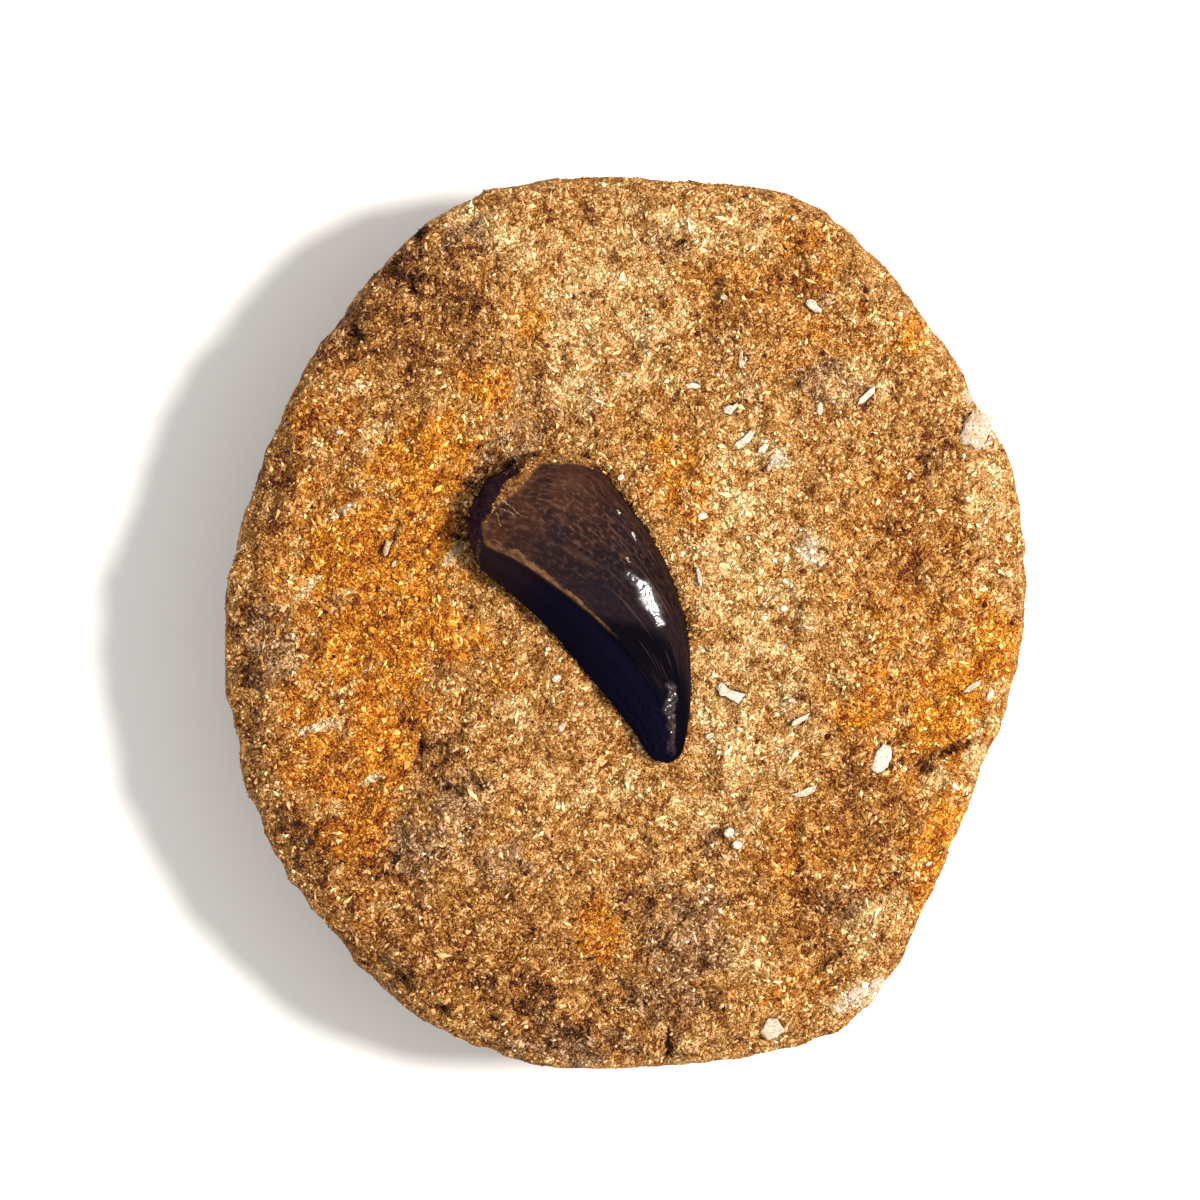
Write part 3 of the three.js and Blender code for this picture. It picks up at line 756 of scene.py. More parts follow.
def build_tooth():
    grid, along, size, width, across, turn = crown_shape()

    # Places on the skin in millimetres: from the crown's rim, round it from the cutting ridge,
    # and the same turn on a crown that doesn't narrow, which the streaks follow to the tip.
    from_rim = np.where(size < 1, (size - 1) * width / 2, along * CROWN_LENGTH) + 0 * turn
    around = np.radians(turn) * width * 0.45 + 0 * along
    skin = np.stack([from_rim, around, np.radians(turn) * 5.5 + 0 * along], axis=2)

    crust = crown_crust(grid, skin, across)
    polish = line_share(grid, POLISHED, 0.25) * smoothstep(from_rim, -0.05, 0.4)
    polish = polish * (grid[..., 2] > grid[-1, 0, 2])
    out = crown_relief(grid, skin, along, turn)
    out = out + crust * (0.12 + 0.12 * fractal(grid, 0.6, 2, 68))
    grid = grid + grid_normals(grid) * out[..., None]

    points, triangles = capped(grid, inside_out=True)
    tooth = mesh_object("tooth_crown", points, triangles)
    add_map(tooth, tube_map(triangles, *grid.shape[:2]))

    def with_poles(values):
        rows = values.reshape(grid.shape[0] * TOOTH_COLUMNS, -1)
        return np.vstack([rows, rows[0], rows[-1]])

    add_values(tooth, "skin", with_poles(skin))
    for name, values in (("along", along + 0 * turn), ("crust", crust), ("polish", polish)):
        add_values(tooth, name, with_poles(values).ravel())
    return tooth


# ---------------------------------------------------------------- bone

# The bones: how tan their colour is, from 0, white, to 1, how far they bend, and the corners
# of their outline in shares of half their length and half their width.
BONES = {
    "bone_chip_north": (0.2, 0, [
        (1, -0.2), (0.9, 0.5), (0.2, 0.55), (-0.2, 1), (-0.8, 0.9), (-1, 0.2), (-0.9, -0.5),
        (-0.3, -0.8), (0.5, -0.7)]),
    "bone_chip_bead": (0.6, 0, [
        (1, 0.3), (0.8, 0.9), (-0.3, 1), (-0.8, 0.7), (-1, 0.2), (-0.7, -0.1), (-0.8, -0.5),
        (-0.2, -0.9), (0.6, -1), (1, -0.4)]),
    "bone_chip_block": (0.3, 0, [
        (1, 0.8), (0.3, 0.6), (-0.1, 1), (-0.85, 0.9), (-1, -0.1), (-0.4, -1), (0.1, -0.5),
        (0.9, 0.1)]),
    "bone_chip_rim": (0.55, 0, [
        (1, 0.2), (0.7, 0.8), (0.1, 1), (-0.5, 0.8), (-1, 0.7), (-0.9, -0.2), (-1, -0.8),
        (-0.2, -1), (0.5, -0.8), (0.95, -0.6)]),
    "bone_chip_pearl": (0.0, 0, [
        (1.14, 0.5), (0.4, 0.92), (-0.96, 0.77), (-1.3, -0.1), (-0.43, -0.93), (0.35, -0.98),
        (1.06, -0.47)]),
    "bone_chip_foot": (0.5, 0, [
        (0.62, 0.5), (-0.14, 0.83), (-1.1, -0.2), (-0.7, -1.3), (0.06, -1.2), (0.85, -0.84)]),
    "bone_chip_west": (0.8, 0, [
        (1.2, -0.97), (0.77, 0.67), (-0.2, 0.7), (-0.83, 0.05), (-0.4, -0.49), (0.56, -0.46)]),
    "bone_splinter_needle": (0.0, 0, [
        (1, 0.4), (0.3, 0.8), (-0.6, 0.7), (-1, 0), (-0.7, -0.8), (0.5, -0.7)]),
    "bone_splinter_curl": (0.15, 0.6, [
        (1, 0.3), (0.3, 0.9), (-0.5, 0.6), (-1, -0.2), (-0.4, -0.7), (0.6, -0.8)]),
    "bone_splinter_bar": (0.2, 0, [
        (1, 0.2), (0.8, 1), (0.1, 0.7), (-0.5, 0.9), (-1, 0.3), (-0.9, -0.6), (-0.1, -1),
        (0.6, -0.6)]),
    "bone_splinter_knuckle": (0.2, 0, [
        (1.08, 0.93), (-0.2, 0.75), (-0.38, 1.1), (-0.96, 1.43), (-1, 0), (-0.83, -1.39),
        (-0.5, -0.8), (-0.25, -0.5), (0.96, -0.88)]),
    "bone_splinter_south": (0.3, 0.1, [
        (1, 0.5), (0.2, 0.6), (-0.5, 0.7), (-1, 0), (-0.6, -0.7), (0.4, -0.6)]),
    "bone_splinter_crescent": (0.5, -0.3, [
        (1, 0.7), (0.4, 1), (-0.5, 0.5), (-1, 0.05), (-0.6, -0.6), (0.3, -0.8), (0.95, -0.6)]),
    "bone_splinter_east": (0.6, 0, [
        (1, 0.5), (0.1, 0.8), (-0.6, 0.5), (-1, 0), (-0.5, -0.8), (0.6, -0.7)]),
}
SPECK_OUTLINE = [(1, 0.3), (0.5, 0.95), (-0.4, 0.9), (-1, 0.2), (-0.7, -0.8), (0.2, -1),
                 (0.9, -0.6)]
SPECK_THICKNESS, SPECK_LIFT = 0.7, 0.15  # and how far its middle lies above the rock's face
SPECK_SEED = 20  # the bones have the seeds below it
ABOVE_ALL = 60  # a height above the whole object


def crossed(first, second):
    """The cross product of vectors in plan."""
    return first[..., 0] * second[..., 1] - first[..., 1] * second[..., 0]


def edge_distances(corners, turns):
    """How far from the middle an outline lies in each direction."""
    corners = np.array(corners, float)
    corners = corners[np.argsort(np.arctan2(corners[:, 1], corners[:, 0]))]
    ways = np.stack([np.cos(turns), np.sin(turns)], axis=1)
    reach = np.ones(len(turns))
    for a, b in zip(corners, np.roll(corners, -1, axis=0)):
        within = (crossed(a, ways) >= 0) & (crossed(ways, b) >= 0)
        reach[within] = crossed(a, b - a) / crossed(ways, b - a)[within]
    return reach


def chip_points(length, width, thickness, corners, bend, seed, columns=44):
    """A broken flat chip that lies along X, as rows of points."""
    turn = np.arange(columns) / columns * 2 * np.pi
    edge = edge_distances(corners, turn)
    rows = [(0.05, 1.0), (0.35, 1.0), (0.62, 0.99), (0.82, 0.92), (0.95, 0.75), (1.0, 0.4),
            (1.0, -0.3), (0.96, -0.8), (0.7, -1.0), (0.3, -1.0), (0.05, -1.0)]
    grid = np.array([
        np.stack([np.cos(turn) * edge * out, np.sin(turn) * edge * out,
                  np.full(columns, high)], axis=1) for out, high in rows])
    grid *= (length / 2, width / 2, thickness / 2)
    grid[..., 1] -= bend * (grid[..., 0] / length) ** 2 * length
    small = min(1, width)
    rough = 0.1 * noise(grid + 9 * seed, 0.9, 70) + 0.07 * noise(grid + 9 * seed, 0.4, 71)
    grid[..., 2] += small * rough
    uneven = 0.12 * noise(grid + 5 * seed, 0.5, 73)
    grid[..., :2] *= 1 + uneven[..., None]
    return grid


def turned(points, degrees):
    """Points turned in plan about the origin."""
    angle = math.radians(degrees)
    c, s = math.cos(angle), math.sin(angle)
    return points @ np.array([[c, s, 0], [-s, c, 0], [0, 0, 1]])


def build_bone(name, index):
    """A chip or a splinter in the place of a CAD node, along that node's longer side."""
    tint, bend, corners = BONES[name]
    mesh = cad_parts[name].data
    solid = np.array([v.co for v in mesh.vertices]) / MM
    low, high = (np.array(corner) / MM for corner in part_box(name))
    middle = (low + high) / 2
    spread = np.cov((solid - middle)[:, :2].T)
    long_way = np.linalg.eigh(spread)[1][:, 1]
    if long_way[0] < 0:
        long_way = -long_way
    angle = math.degrees(math.atan2(long_way[1], long_way[0]))
    length, width = np.ptp(turned(solid - middle, -angle), axis=0)[:2]
    grid = chip_points(length, width, high[2] - low[2], corners, bend, index)
    points, triangles = capped(grid)
    bone = mesh_object(name + "_cut", turned(points, angle) + middle, triangles, False)
    add_map(bone, tube_map(triangles, *grid.shape[:2]))
    add_values(bone, "tint", np.full(len(points), tint))
    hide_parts(name)
    return bone


def build_specks(rock):
    """The specks of bone, joined in one piece and set in the rock's face."""
    face = tree_of([rock])
    points, faces, places, tints, count = [], [], [], [], 0
    cells = math.ceil(len(SPECKS) ** 0.5)
    for index, (x, y, length, width, turn, tint) in enumerate(SPECKS):
        top = face.ray_cast(Vector((x, y, ABOVE_ALL)), Vector((0, 0, -1)))[0]
        if top is None:
            raise ValueError(f"there is no rock under the speck at {x}, {y}")
        grid = chip_points(length, width, SPECK_THICKNESS, SPECK_OUTLINE, 0,
                           SPECK_SEED + index, columns=16)
        chip, triangles = capped(grid)
        points.append(turned(chip, turn) + (x, y, top.z + SPECK_LIFT))
        faces.append(triangles + count)
        cell = np.array((index % cells, index // cells))
        places.append((cell + tube_map(triangles, *grid.shape[:2])) / cells)
        tints.append(np.full(len(chip), tint))
        count += len(chip)
    specks = mesh_object("bone_specks", np.vstack(points), np.vstack(faces), False)
    add_map(specks, np.vstack(places))
    add_values(specks, "tint", np.concatenate(tints))
    return specks


# ---------------------------------------------------------------- materials

# The rock's colours.
TAN = (0.354, 0.161, 0.0365, 1)
ORANGE = (0.43, 0.152, 0.004, 1)
PALE = (0.45, 0.256, 0.092, 1)
CRUST = (0.55, 0.39, 0.25, 1)
GREY = (0.25, 0.126, 0.047, 1)
BROWN = (0.255, 0.104, 0.0155, 1)
# The dark patches' colour: the rock's own dark brown, and painted shade where those patches are
# shade.
UMBER_AND_SHADE = (0.14, 0.055, 0.0110, 1)

# The bones' colours.
BONE_WHITE = (0.55, 0.49, 0.40, 1)
BONE_TAN = (0.44, 0.29, 0.18, 1)
BONE_DUST = (0.26, 0.13, 0.05, 1)

# The enamel's colours: at the root and the tip, and what lies over them, some of which is
# painted light or shade. A pair is the two ends of a mix.
ROOT_BROWN = (0.040, 0.0145, 0.0065, 1)
TIP_BLACK = (0.0060, 0.0027, 0.0034, 1)
PLUM_CLOUD = (0.0070, 0.0038, 0.0060, 1)
WARM_STREAK = (0.058, 0.021, 0.0100, 1)
PINK_SPECKLE = (0.098, 0.046, 0.034, 1)
PALE_HAIR = (0.112, 0.052, 0.032, 1)
DARK_HAIR = (0.0060, 0.0028, 0.0036, 1)
SADDLE_PLUM = (0.0085, 0.0050, 0.0078, 1)
# The outer margin's redder brown: partly the enamel's own, partly painted rim light.
MARGIN_RED_AND_RIM_LIGHT = ((0.012, 0.0042, 0.0032, 1), (0.036, 0.0125, 0.0075, 1))
# Painted shade towards the tip, spreading out from the flank.
TIP_SHADE = (0.0016, 0.0010, 0.0026, 1)
STRIA = (0.050, 0.026, 0.019, 1)
# Painted shade on the flank below the ridge, from brownish near the root to bluish black.
FLANK_SHADE_BLUE = ((0.018, 0.009, 0.012, 1), (0.0030, 0.0024, 0.0095, 1))
# Browner mottle on the polished tip, partly worn enamel and partly a painted sheen.
WORN_BROWN_AND_SHEEN = (0.042, 0.020, 0.014, 1)
RIDGE_TAN = ((0.045, 0.018, 0.008, 1), (0.130, 0.064, 0.030, 1))
STUCK_TAN = ((0.09, 0.040, 0.012, 1), (0.22, 0.115, 0.045, 1))
CRACK_SAND = (0.26, 0.155, 0.07, 1)
# White of the painted glints on the crown.
GLINT_WHITE = (0.50, 0.47, 0.44, 1)
BROKEN_END = ((0.011, 0.0045, 0.0105, 1), (0.045, 0.018, 0.022, 1))


def new_material(name):
    material = bpy.data.materials.new(name)
    material.use_nodes = True
    tree = material.node_tree
    tree.nodes.clear()
    return material, tree


def fill(socket, value):
    """Gives a node's input a value, which may be another node's output."""
    if isinstance(value, bpy.types.NodeSocket):
        socket.id_data.links.new(value, socket)
    elif value is not None:
        socket.default_value = value


def node(tree, kind, *values, **inputs):
    """Adds a node. values fill its first inputs in turn, inputs go by name, and names in
    lower case are settings."""
    made = tree.nodes.new("ShaderNode" + kind)
    for name, value in inputs.items():
        if name[0].islower():
            setattr(made, name, value)
    for socket, value in zip(made.inputs, values):
        fill(socket, value)
    for name, value in inputs.items():
        if name[0].isupper():
            fill(made.inputs[name.replace("_", " ")], value)
    return made


def attribute(tree, name, output="Fac"):
    """Values that a piece stores for its points."""
    return node(tree, "Attribute", attribute_name=name).outputs[output]


# In the functions from here to mixed() the first value is a node's output, and the new nodes go
# in its tree.


def maths(operation, first, *others):
    return node(first.id_data, "Math", first, *others, operation=operation).outputs[0]


def total(*values):
    return functools.reduce(lambda so_far, value: maths("ADD", so_far, value), values)


def product(*values):
    return functools.reduce(lambda so_far, value: maths("MULTIPLY", so_far, value), values)


def vectors(operation, first, *others, output=0):
    """A vector worked out from others, or a number where output is "Value"."""
    made = node(first.id_data, "VectorMath", first, *others, operation=operation)
    return made.outputs[output]


def ramp(value, low, high, to_low=0.0, to_high=1.0):
    """value, spread smoothly from low..high to to_low..to_high."""
    made = node(value.id_data, "MapRange", value, low, high, to_low, to_high,
                interpolation_type="SMOOTHSTEP")
    return made.outputs[0]


def texture_noise(vector, scale, detail=2.0, roughness=0.5, distortion=0.0, output=0):
    made = node(vector.id_data, "TexNoise", Vector=vector, Scale=scale, Detail=detail,
                Roughness=roughness, Distortion=distortion)
    return made.outputs[output]


def mixed(share, first, second):
    """A mix of two colours."""
    made = node(share.id_data, "Mix", share, data_type="RGBA")
    fill(made.inputs[6], first)
    fill(made.inputs[7], second)
    return made.outputs[2]


def layered(colour, *layers):
    """A colour with others laid over it in turn. A layer is a share and a colour."""
    for share, paint in layers:
        colour = mixed(share, colour, paint)
    return colour


def millimetres(tree):
    """The piece's own coordinates in millimetres."""
    place = node(tree, "TexCoord").outputs["Object"]
    return node(tree, "VectorMath", place, operation="SCALE", Scale=1 / MM).outputs[0]


def add_shader(tree, colour, roughness, shine=None, height=None, distance=0.1):
    """The material's shader, with a bump of that height map, distance millimetres deep."""
    shader = node(tree, "BsdfPrincipled", Base_Color=colour, Roughness=roughness,
                  Specular_IOR_Level=shine)
    if height is not None:
        bump = node(tree, "Bump", Height=height, Distance=distance * MM, Strength=1.0)
        fill(shader.inputs["Normal"], bump.outputs[0])
    node(tree, "OutputMaterial", shader.outputs[0])


def toned(colour, shift):
    """A colour made lighter or darker by one step in all its channels, as the eye sees them."""
    seen = node(colour.id_data, "Gamma", colour, 1 / 2.2).outputs[0]
    moved = vectors("ADD", seen, shift)
    darkest = vectors("MAXIMUM", moved, (0.02, 0.01, 0.001))
    lightest = vectors("MINIMUM", darkest, (0.86,) * 3)
    return node(colour.id_data, "Gamma", lightest, 2.2).outputs[0]


def rock_colour(place, jitter):
    """The rock's colour from its patches, with noise that breaks up their edges, and with a
    finer noise and the jitter that make it lighter and darker."""
    tree = place.id_data
    patches = node(tree, "Attribute", attribute_name="patches")
    split = node(tree, "SeparateColor", patches.outputs["Color"])
    orange, pale, grey = split.outputs[:3]

    def lumps(scale, seed):
        moved = vectors("ADD", place, (31.0 * seed, 17.0 * seed, 0))
        return texture_noise(moved, scale, 6, 0.65, 0.3)

    def grown(share, lump):
        """A patch's share, with lumps in it."""
        swing = node(tree, "Clamp", maths("MULTIPLY_ADD", lump, 7.0, -2.5), 0.0, 2.0)
        return product(share, swing.outputs[0])

    def beds(seed):
        """Level layers that show on the walls."""
        moved = vectors("MULTIPLY_ADD", place, (0.03, 0.03, 0.3), (seed, 0, 0))
        height = node(tree, "SeparateXYZ", place).outputs[2]
        return product(ramp(texture_noise(moved, 1.0, 5, 0.6, 0.5), 0.48, 0.62),
                       ramp(height, 23, 17))

    first, second, third = lumps(0.35, 1), lumps(0.3, 2), lumps(0.45, 3)
    dark = grown(patches.outputs["Alpha"], third)
    colour = layered(
        TAN,
        (ramp(first, 0.5, 0.6, 0, 0.4), PALE),
        (ramp(second, 0.5, 0.4, 0, 0.35), BROWN),
        (product(beds(5), 0.7), BROWN),
        (product(beds(17), 0.5), ORANGE),
        (ramp(grown(orange, third), 0.0, 0.6), ORANGE),
        (ramp(grown(grey, first), 0.1, 0.8), GREY),
        (ramp(grown(pale, second), 0.1, 0.8), PALE),
        (ramp(pale, 0.7, 0.95), CRUST),
        (ramp(dark, 0.0, 1.4, 0, 0.66), UMBER_AND_SHADE))

    # The tone: crumbs with dark gaps between them, dark patches, and here and there a fleck.
    # On the rock the crumbs' dark gaps lie in the hollows of its bump, made from the same noise,
    # so they are partly painted shade; the dark patches hold painted shade and shadow too.
    crumbs = ramp(texture_noise(place, 1.9, 2, 0.6, 1.6), 0.3, 0.7, -0.19, 0.15)
    grit = maths("MULTIPLY_ADD", texture_noise(place, 5.5, 1), 0.95, -0.475)
    clods = ramp(texture_noise(place, 0.75, 2, 0.6, 0.6), 0.3, 0.7, -0.1, 0.09)
    flecks = ramp(texture_noise(place, 0.9, 2, 0.55, 2.5), 0.57, 0.66, 0, 0.15)
    shade = product(dark, -0.10)
    lift = product(grown(pale, second), 0.05)
    return toned(colour, total(crumbs, jitter, grit, clods, flecks, shade, lift))


def rock_material():
    material, tree = new_material("sandy_phosphate_rock")
    place = millimetres(tree)
    # This noise bumps the rock, and rock_colour darkens the crumbs' gaps in its hollows as painted
    # shade.
    crumbs = texture_noise(place, 1.9, 2, 0.6, 1.6)
    add_shader(tree, rock_colour(place, -0.04), 0.95, 0.2, crumbs, 0.6)
    return material


def sand_material():
    """Each grain has one colour, that of the rock at its middle, and a tone of its own."""
    material, tree = new_material("sand_grains")
    tone = attribute(tree, "tone")
    jitter = maths("MULTIPLY_ADD", tone, 0.065, 0.03)
    colour = rock_colour(attribute(tree, "middle", "Vector"), jitter)
    roughness = ramp(tone, -2.0, 2.0, 0.95, 0.6)
    add_shader(tree, colour, roughness, 0.3, texture_noise(millimetres(tree), 5.0))
    return material


def bone_material():
    material, tree = new_material("fossil_bone")
    place = millimetres(tree)
    tint = attribute(tree, "tint")
    cloud, pores = texture_noise(place, 1.3, 3), texture_noise(place, 4.0)
    tanned = total(tint, maths("MULTIPLY_ADD", cloud, 1.6, -0.8))
    dusty = total(pores, product(tint, -0.08))
    colour = layered(mixed(ramp(tanned, 0.0, 1.0), BONE_WHITE, BONE_TAN),
                     (ramp(dusty, 0.44, 0.34, 0, 0.8), BONE_DUST))
    add_shader(tree, colour, ramp(cloud, 0.3, 0.7, 0.55, 0.85), 0.3, pores, 0.12)
    return material


def lines_on(place, lines):
    """Thin wandering lines in plan: start, end, and half their width."""
    wander = vectors("ADD", texture_noise(place, 2.2, output="Color"), (-0.5,) * 3)
    moved = vectors("MULTIPLY_ADD", wander, (0.9,) * 3, place)
    flat = vectors("MULTIPLY", moved, (1, 1, 0))
    share = 0.0
    for x0, y0, x1, y1, reach in lines:
        way = (x1 - x0, y1 - y0, 0)
        off = vectors("ADD", flat, (-x0, -y0, 0))
        part = vectors("DOT_PRODUCT", off, way, output="Value")
        part = maths("DIVIDE", part, way[0] ** 2 + way[1] ** 2)
        part = node(place.id_data, "Clamp", part, 0.0, 1.0).outputs[0]
        nearest = node(place.id_data, "VectorMath", way, operation="SCALE", Scale=part)
        apart = vectors("DISTANCE", off, nearest.outputs[0], output="Value")
        share = maths("MAXIMUM", ramp(apart, reach, 0.4 * reach), share)
    return share


class Crown:
    """What the enamel's nodes know of a point on the crown: its place, how far along the crown
    it is from 0 to 1, how far from the rim and round from the cutting ridge in millimetres,
    and how much sand and polish it has."""

    def __init__(self, tree):
        self.place = millimetres(tree)
        self.skin = attribute(tree, "skin", "Vector")
        self.from_rim, self.around = node(tree, "SeparateXYZ", self.skin).outputs[:2]
        self.along, self.crust, self.polish = (
            attribute(tree, name) for name in ("along", "crust", "polish"))
        self.fine = self.streaks(3.0, 0.2, 4)
        self.broad = self.streaks(0.7, 0.2, 4)
        self.cloud = self.streaks(0.35, 0.5, 4)
        self.worn = self.streaks(2.2, 0.35, 3)
        self.tip = ramp(self.along, 0.64, 0.74)

    def streaks(self, scale, stretch, detail):
        """Noise that is drawn out along the crown."""
        drawn = vectors("MULTIPLY", self.skin, (stretch, 0, 1))
        return texture_noise(drawn, scale, detail, 0.6)


def streaked_enamel(crown):
    """The crown's browns in streaks along it, which fade towards the tip."""
    fading = ramp(crown.along, 0.6, 0.16, 0.2, 1.0)
    return layered(
        mixed(ramp(crown.along, 0.04, 0.34), ROOT_BROWN, TIP_BLACK),
        (ramp(crown.cloud, 0.52, 0.4, 0, 0.7), PLUM_CLOUD),
        (product(ramp(crown.broad, 0.5, 0.66, 0, 0.6), fading), WARM_STREAK),
        (product(ramp(crown.streaks(3.0, 0.45, 3), 0.5, 0.66, 0, 0.55), fading), PINK_SPECKLE),
        (product(ramp(crown.fine, 0.52, 0.68, 0, 0.5), fading), PALE_HAIR),
        (ramp(crown.fine, 0.44, 0.32, 0, 0.7), DARK_HAIR))


def ridge_strip(crown):
    """The cutting ridge's worn line, wide at the root and fading half way down."""
    wide = product(ramp(crown.along, 0.0, 0.48, 1.3, 0.3), ramp(crown.worn, 0.3, 0.7, 0.6, 1.2))
    above = product(crown.around, -1)
    return product(ramp(maths("SUBTRACT", wide, above), 0.0, 0.2), ramp(above, -0.15, 0.05),
                   ramp(crown.along, 0.54, 0.42))


def enamel_height(crown, dull):
    """The enamel's height map: streaks and pits, smoother where it is polished."""
    streaks = total(crown.fine, product(crown.streaks(7.0, 0.15, 2), 0.4),
                    product(texture_noise(crown.place, 2.2, 3, 0.6), 0.8))
    streaks = product(streaks, maths("MULTIPLY_ADD", crown.polish, -0.75, 1.0))
    rough = product(crown.worn, product(dull, 2.0))
    pits = product(texture_noise(crown.place, 1.9, 0.6),
                   ramp(crown.along, 0.66, 0.78, 2.8, 7.0))
    off = vectors("ADD", crown.place, (-LEAN_MIDDLE[0], -LEAN_MIDDLE[1], 0))
    lean = product(vectors("DOT_PRODUCT", off, (*LEAN, 0), output="Value"),
                   product(crown.polish, ramp(crown.tip, 1, 0)))
    return total(streaks, rough, pits, lean)


def tooth_material():
    material, tree = new_material("fossil_enamel")
    crown = Crown(tree)
    place, along, around = crown.place, crown.along, crown.around

    # Beside the cutting ridge the crown is darker, like a saddle. Its outer margin is a redder
    # brown, partly painted rim light where it faces the lamp, and towards the tip it is painted
    # nearly black as painted shade, with pale striae.
    saddle = product(ramp(around, -6.0, -2.5, 0, 0.75), ramp(along, 0.03, 0.14),
                     ramp(crown.cloud, 0.35, 0.6, 1.1, 0.7))
    # The margin's redder brown is partly the enamel's own and partly painted rim light.
    margin = ramp(maths("DIVIDE", around, CROWN_LENGTH), -0.2, -0.34, 0, 0.6)
    red_and_rim_light = mixed(ramp(crown.streaks(1.8, 0.07, 3), 0.42, 0.6), *MARGIN_RED_AND_RIM_LIGHT)
    # The shade mask: painted shade that spreads out from the flank towards the tip.
    shade = total(around, ramp(along, 0.30, 0.72, 0, 4.2),
                  maths("MULTIPLY_ADD", crown.broad, 3.0, -1.5))
    shade = product(ramp(shade, -0.8, 1.2), ramp(along, 0.34, 0.5))
    striae = product(ramp(crown.streaks(3.4, 0.035, 1), 0.6, 0.68, 0, 0.6),
                     ramp(along, 0.2, 0.36), ramp(along, 0.78, 0.62))

    # The flank below the ridge faces away from the lamp and is painted bluish black as painted
    # shade, and the polished tip is browner and mottled, partly as a painted sheen.
    flank = ramp(total(around, ramp(along, 0.5, 0.9, 0, 0.5)), 0.0, 0.8)
    flank_shade = mixed(ramp(along, 0.02, 0.3), *FLANK_SHADE_BLUE)
    # The polished tip's browner mottle is partly worn enamel and partly a painted sheen.
    worn_brown_and_sheen = product(crown.polish, crown.tip,
                    ramp(texture_noise(place, 2.4, 3, 0.6), 0.42, 0.62, 0.1, 0.9))
    strip = ridge_strip(crown)
    ridge_tan = mixed(ramp(crown.worn, 0.35, 0.65), *RIDGE_TAN)

    # Sand lies on the rim and in the cracks, and the broken end is mottled and dull.
    sandy = mixed(ramp(texture_noise(place, 2.5), 0.35, 0.65), *STUCK_TAN)
    # The glints are painted highlights: small white marks on the crown.
    cracks, painted_glints = lines_on(place, CRACKS), lines_on(place, PAINTED_GLINTS)
    broken = ramp(crown.from_rim, -0.25, -0.45)
    mottled = mixed(ramp(texture_noise(place, 1.3, 4, 0.7), 0.35, 0.65), *BROKEN_END)

    colour = layered(
        streaked_enamel(crown), (saddle, SADDLE_PLUM), (margin, red_and_rim_light), (shade, TIP_SHADE),
        (striae, STRIA), (flank, flank_shade), (worn_brown_and_sheen, WORN_BROWN_AND_SHEEN),
        (product(strip, 0.85), ridge_tan), (crown.crust, sandy),
        (product(cracks, 0.8), CRACK_SAND), (product(painted_glints, 0.8), GLINT_WHITE),
        (broken, mottled))

    dull = maths("MAXIMUM", maths("MAXIMUM", crown.crust, broken),
                 maths("MAXIMUM", cracks, strip))
    gloss = maths("MULTIPLY_ADD", crown.polish, -0.51, 0.72)
    roughness = node(tree, "Mix", dull, None, gloss, 0.85).outputs[0]
    shine = product(crown.polish, ramp(flank, 0, 1, 0.48, 0.2),
                    ramp(crown.tip, 0, 1, 1.0, 0.65))
    shine = total(shine, ramp(maths("MAXIMUM", flank, shade), 0, 1, 0.035, 0.015))
    add_shader(tree, colour, roughness, shine, enamel_height(crown, dull), 0.035)
    return material


# ---------------------------------------------------------------- stage

FLOOR_SIZE = 4000.0  # in millimetres, as all above
PICTURE_WIDTH = 0.144  # in metres, at the height of the slab's widest outline
OUTLINE_HEIGHT = 0.014
PICTURE_MIDDLE = (-0.00306, 0.0027)  # from the slab's middle


def build_floor():
    corners = np.array([(-1, -1, 0), (1, -1, 0), (1, 1, 0), (-1, 1, 0)]) * FLOOR_SIZE / 2
    floor = mesh_object("floor", corners, [(0, 1, 2, 3)])
    material, tree = new_material("pale_floor")
    add_shader(tree, (0.82, 0.81, 0.79, 1), 0.9)
    floor.data.materials.append(material)


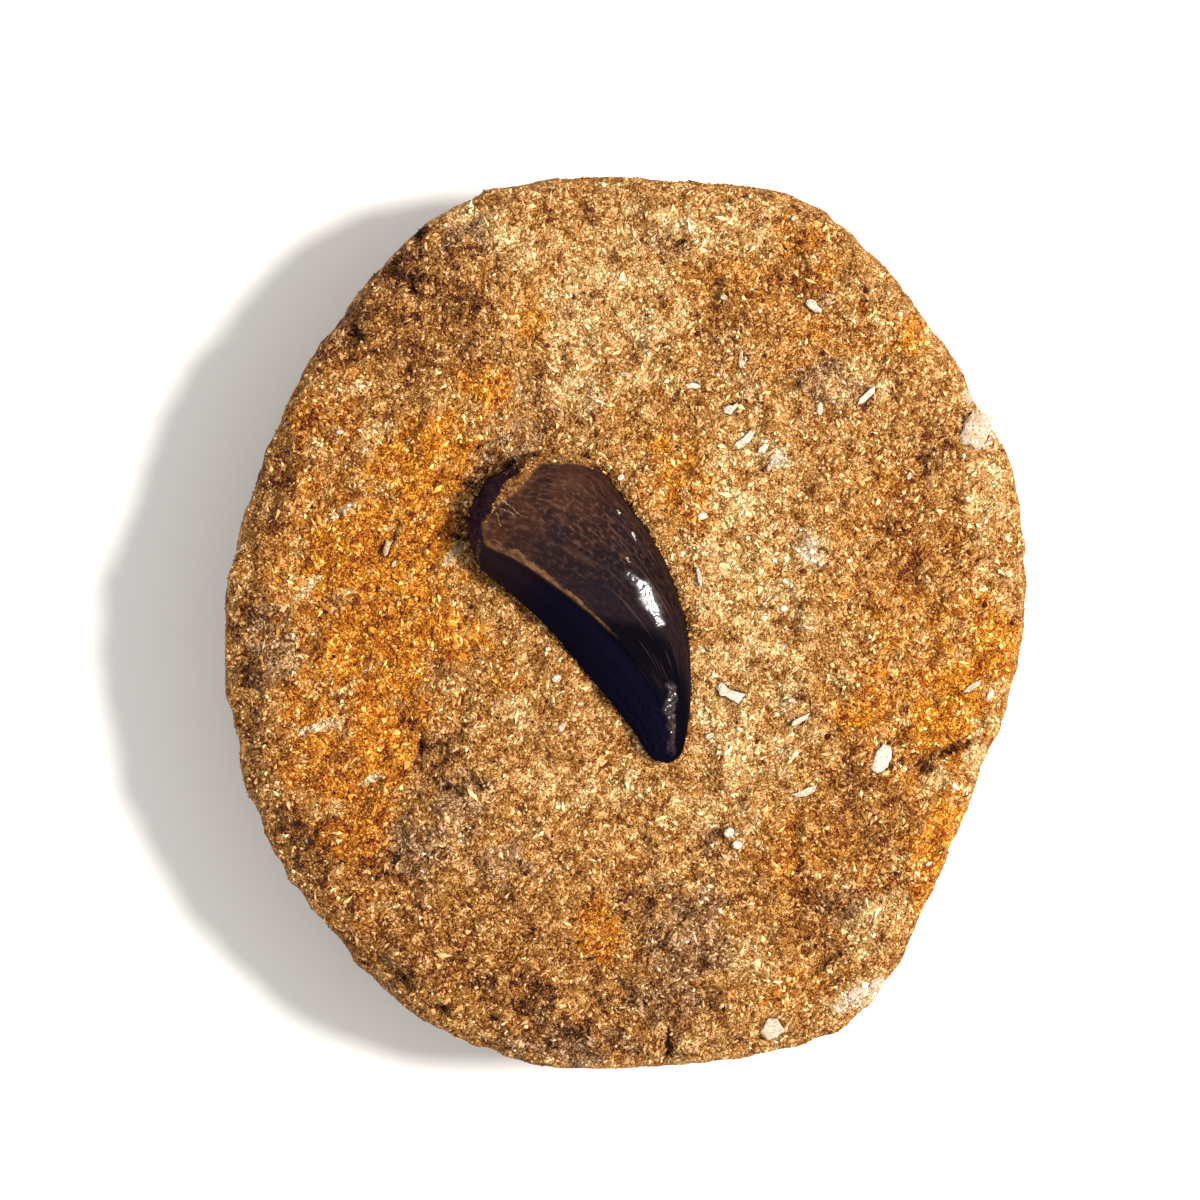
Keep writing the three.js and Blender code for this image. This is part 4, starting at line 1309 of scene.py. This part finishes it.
def build_lights():
    """An even white sky, and one soft lamp that looks at the slab from the right."""
    world = bpy.data.worlds.new("studio")
    bpy.context.scene.world = world
    world.use_nodes = True
    background = world.node_tree.nodes["Background"]
    background.inputs["Color"].default_value = (1, 1, 1, 1)
    background.inputs["Strength"].default_value = 0.84

    light = bpy.data.lights.new("key", "AREA")
    light.shape = "DISK"
    light.size = 0.4
    light.energy = 74
    light.color = (1.0, 0.96, 0.90)
    lamp = bpy.data.objects.new("key", light)
    azimuth, elevation, distance = math.radians(4), math.radians(54), 2.0
    lamp.location = distance * Vector((math.cos(azimuth) * math.cos(elevation),
                                       math.sin(azimuth) * math.cos(elevation),
                                       math.sin(elevation)))
    lamp.rotation_euler = (-lamp.location).to_track_quat("-Z", "Y").to_euler()
    bpy.context.collection.objects.link(lamp)


def build_camera():
    """A camera far above the slab that looks straight down, with the slab a little below and
    right of the middle of the picture."""
    camera = bpy.data.cameras.new("camera")
    camera.lens = 250
    camera.sensor_width = 36
    camera.clip_start, camera.clip_end = 0.1, 10
    distance = PICTURE_WIDTH * camera.lens / camera.sensor_width
    holder = bpy.data.objects.new("camera", camera)
    middle = (cad_box[0] + cad_box[1]) / 2
    holder.location = (middle.x + PICTURE_MIDDLE[0], middle.y + PICTURE_MIDDLE[1],
                       OUTLINE_HEIGHT + distance)
    bpy.context.collection.objects.link(holder)
    bpy.context.scene.camera = holder
    bpy.context.scene.view_settings.view_transform = "Standard"


# ---------------------------------------------------------------- assembly


def finish_piece(piece, material):
    piece.data.materials.clear()
    piece.data.materials.append(material)
    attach(piece, "root")


def main():
    build_camera()
    build_floor()
    build_lights()
    enamel, bone = tooth_material(), bone_material()
    rock_look, sand_look = rock_material(), sand_material()

    tooth = build_tooth()
    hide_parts("tooth")
    finish_piece(tooth, enamel)

    bones = [name for name in sorted(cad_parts) if name.startswith("bone_")]
    cut = [build_bone(name, index) for index, name in enumerate(bones)]
    for piece in cut:
        finish_piece(piece, bone)

    inlaid = tree_of([tooth, *cut])
    rock = build_rock(inlaid)
    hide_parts("matrix")
    finish_piece(rock, rock_look)
    for sand in build_sand(rock, inlaid):
        finish_piece(sand, sand_look)
    finish_piece(build_rim_sand(tooth), sand_look)
    finish_piece(build_specks(rock), bone)


main()
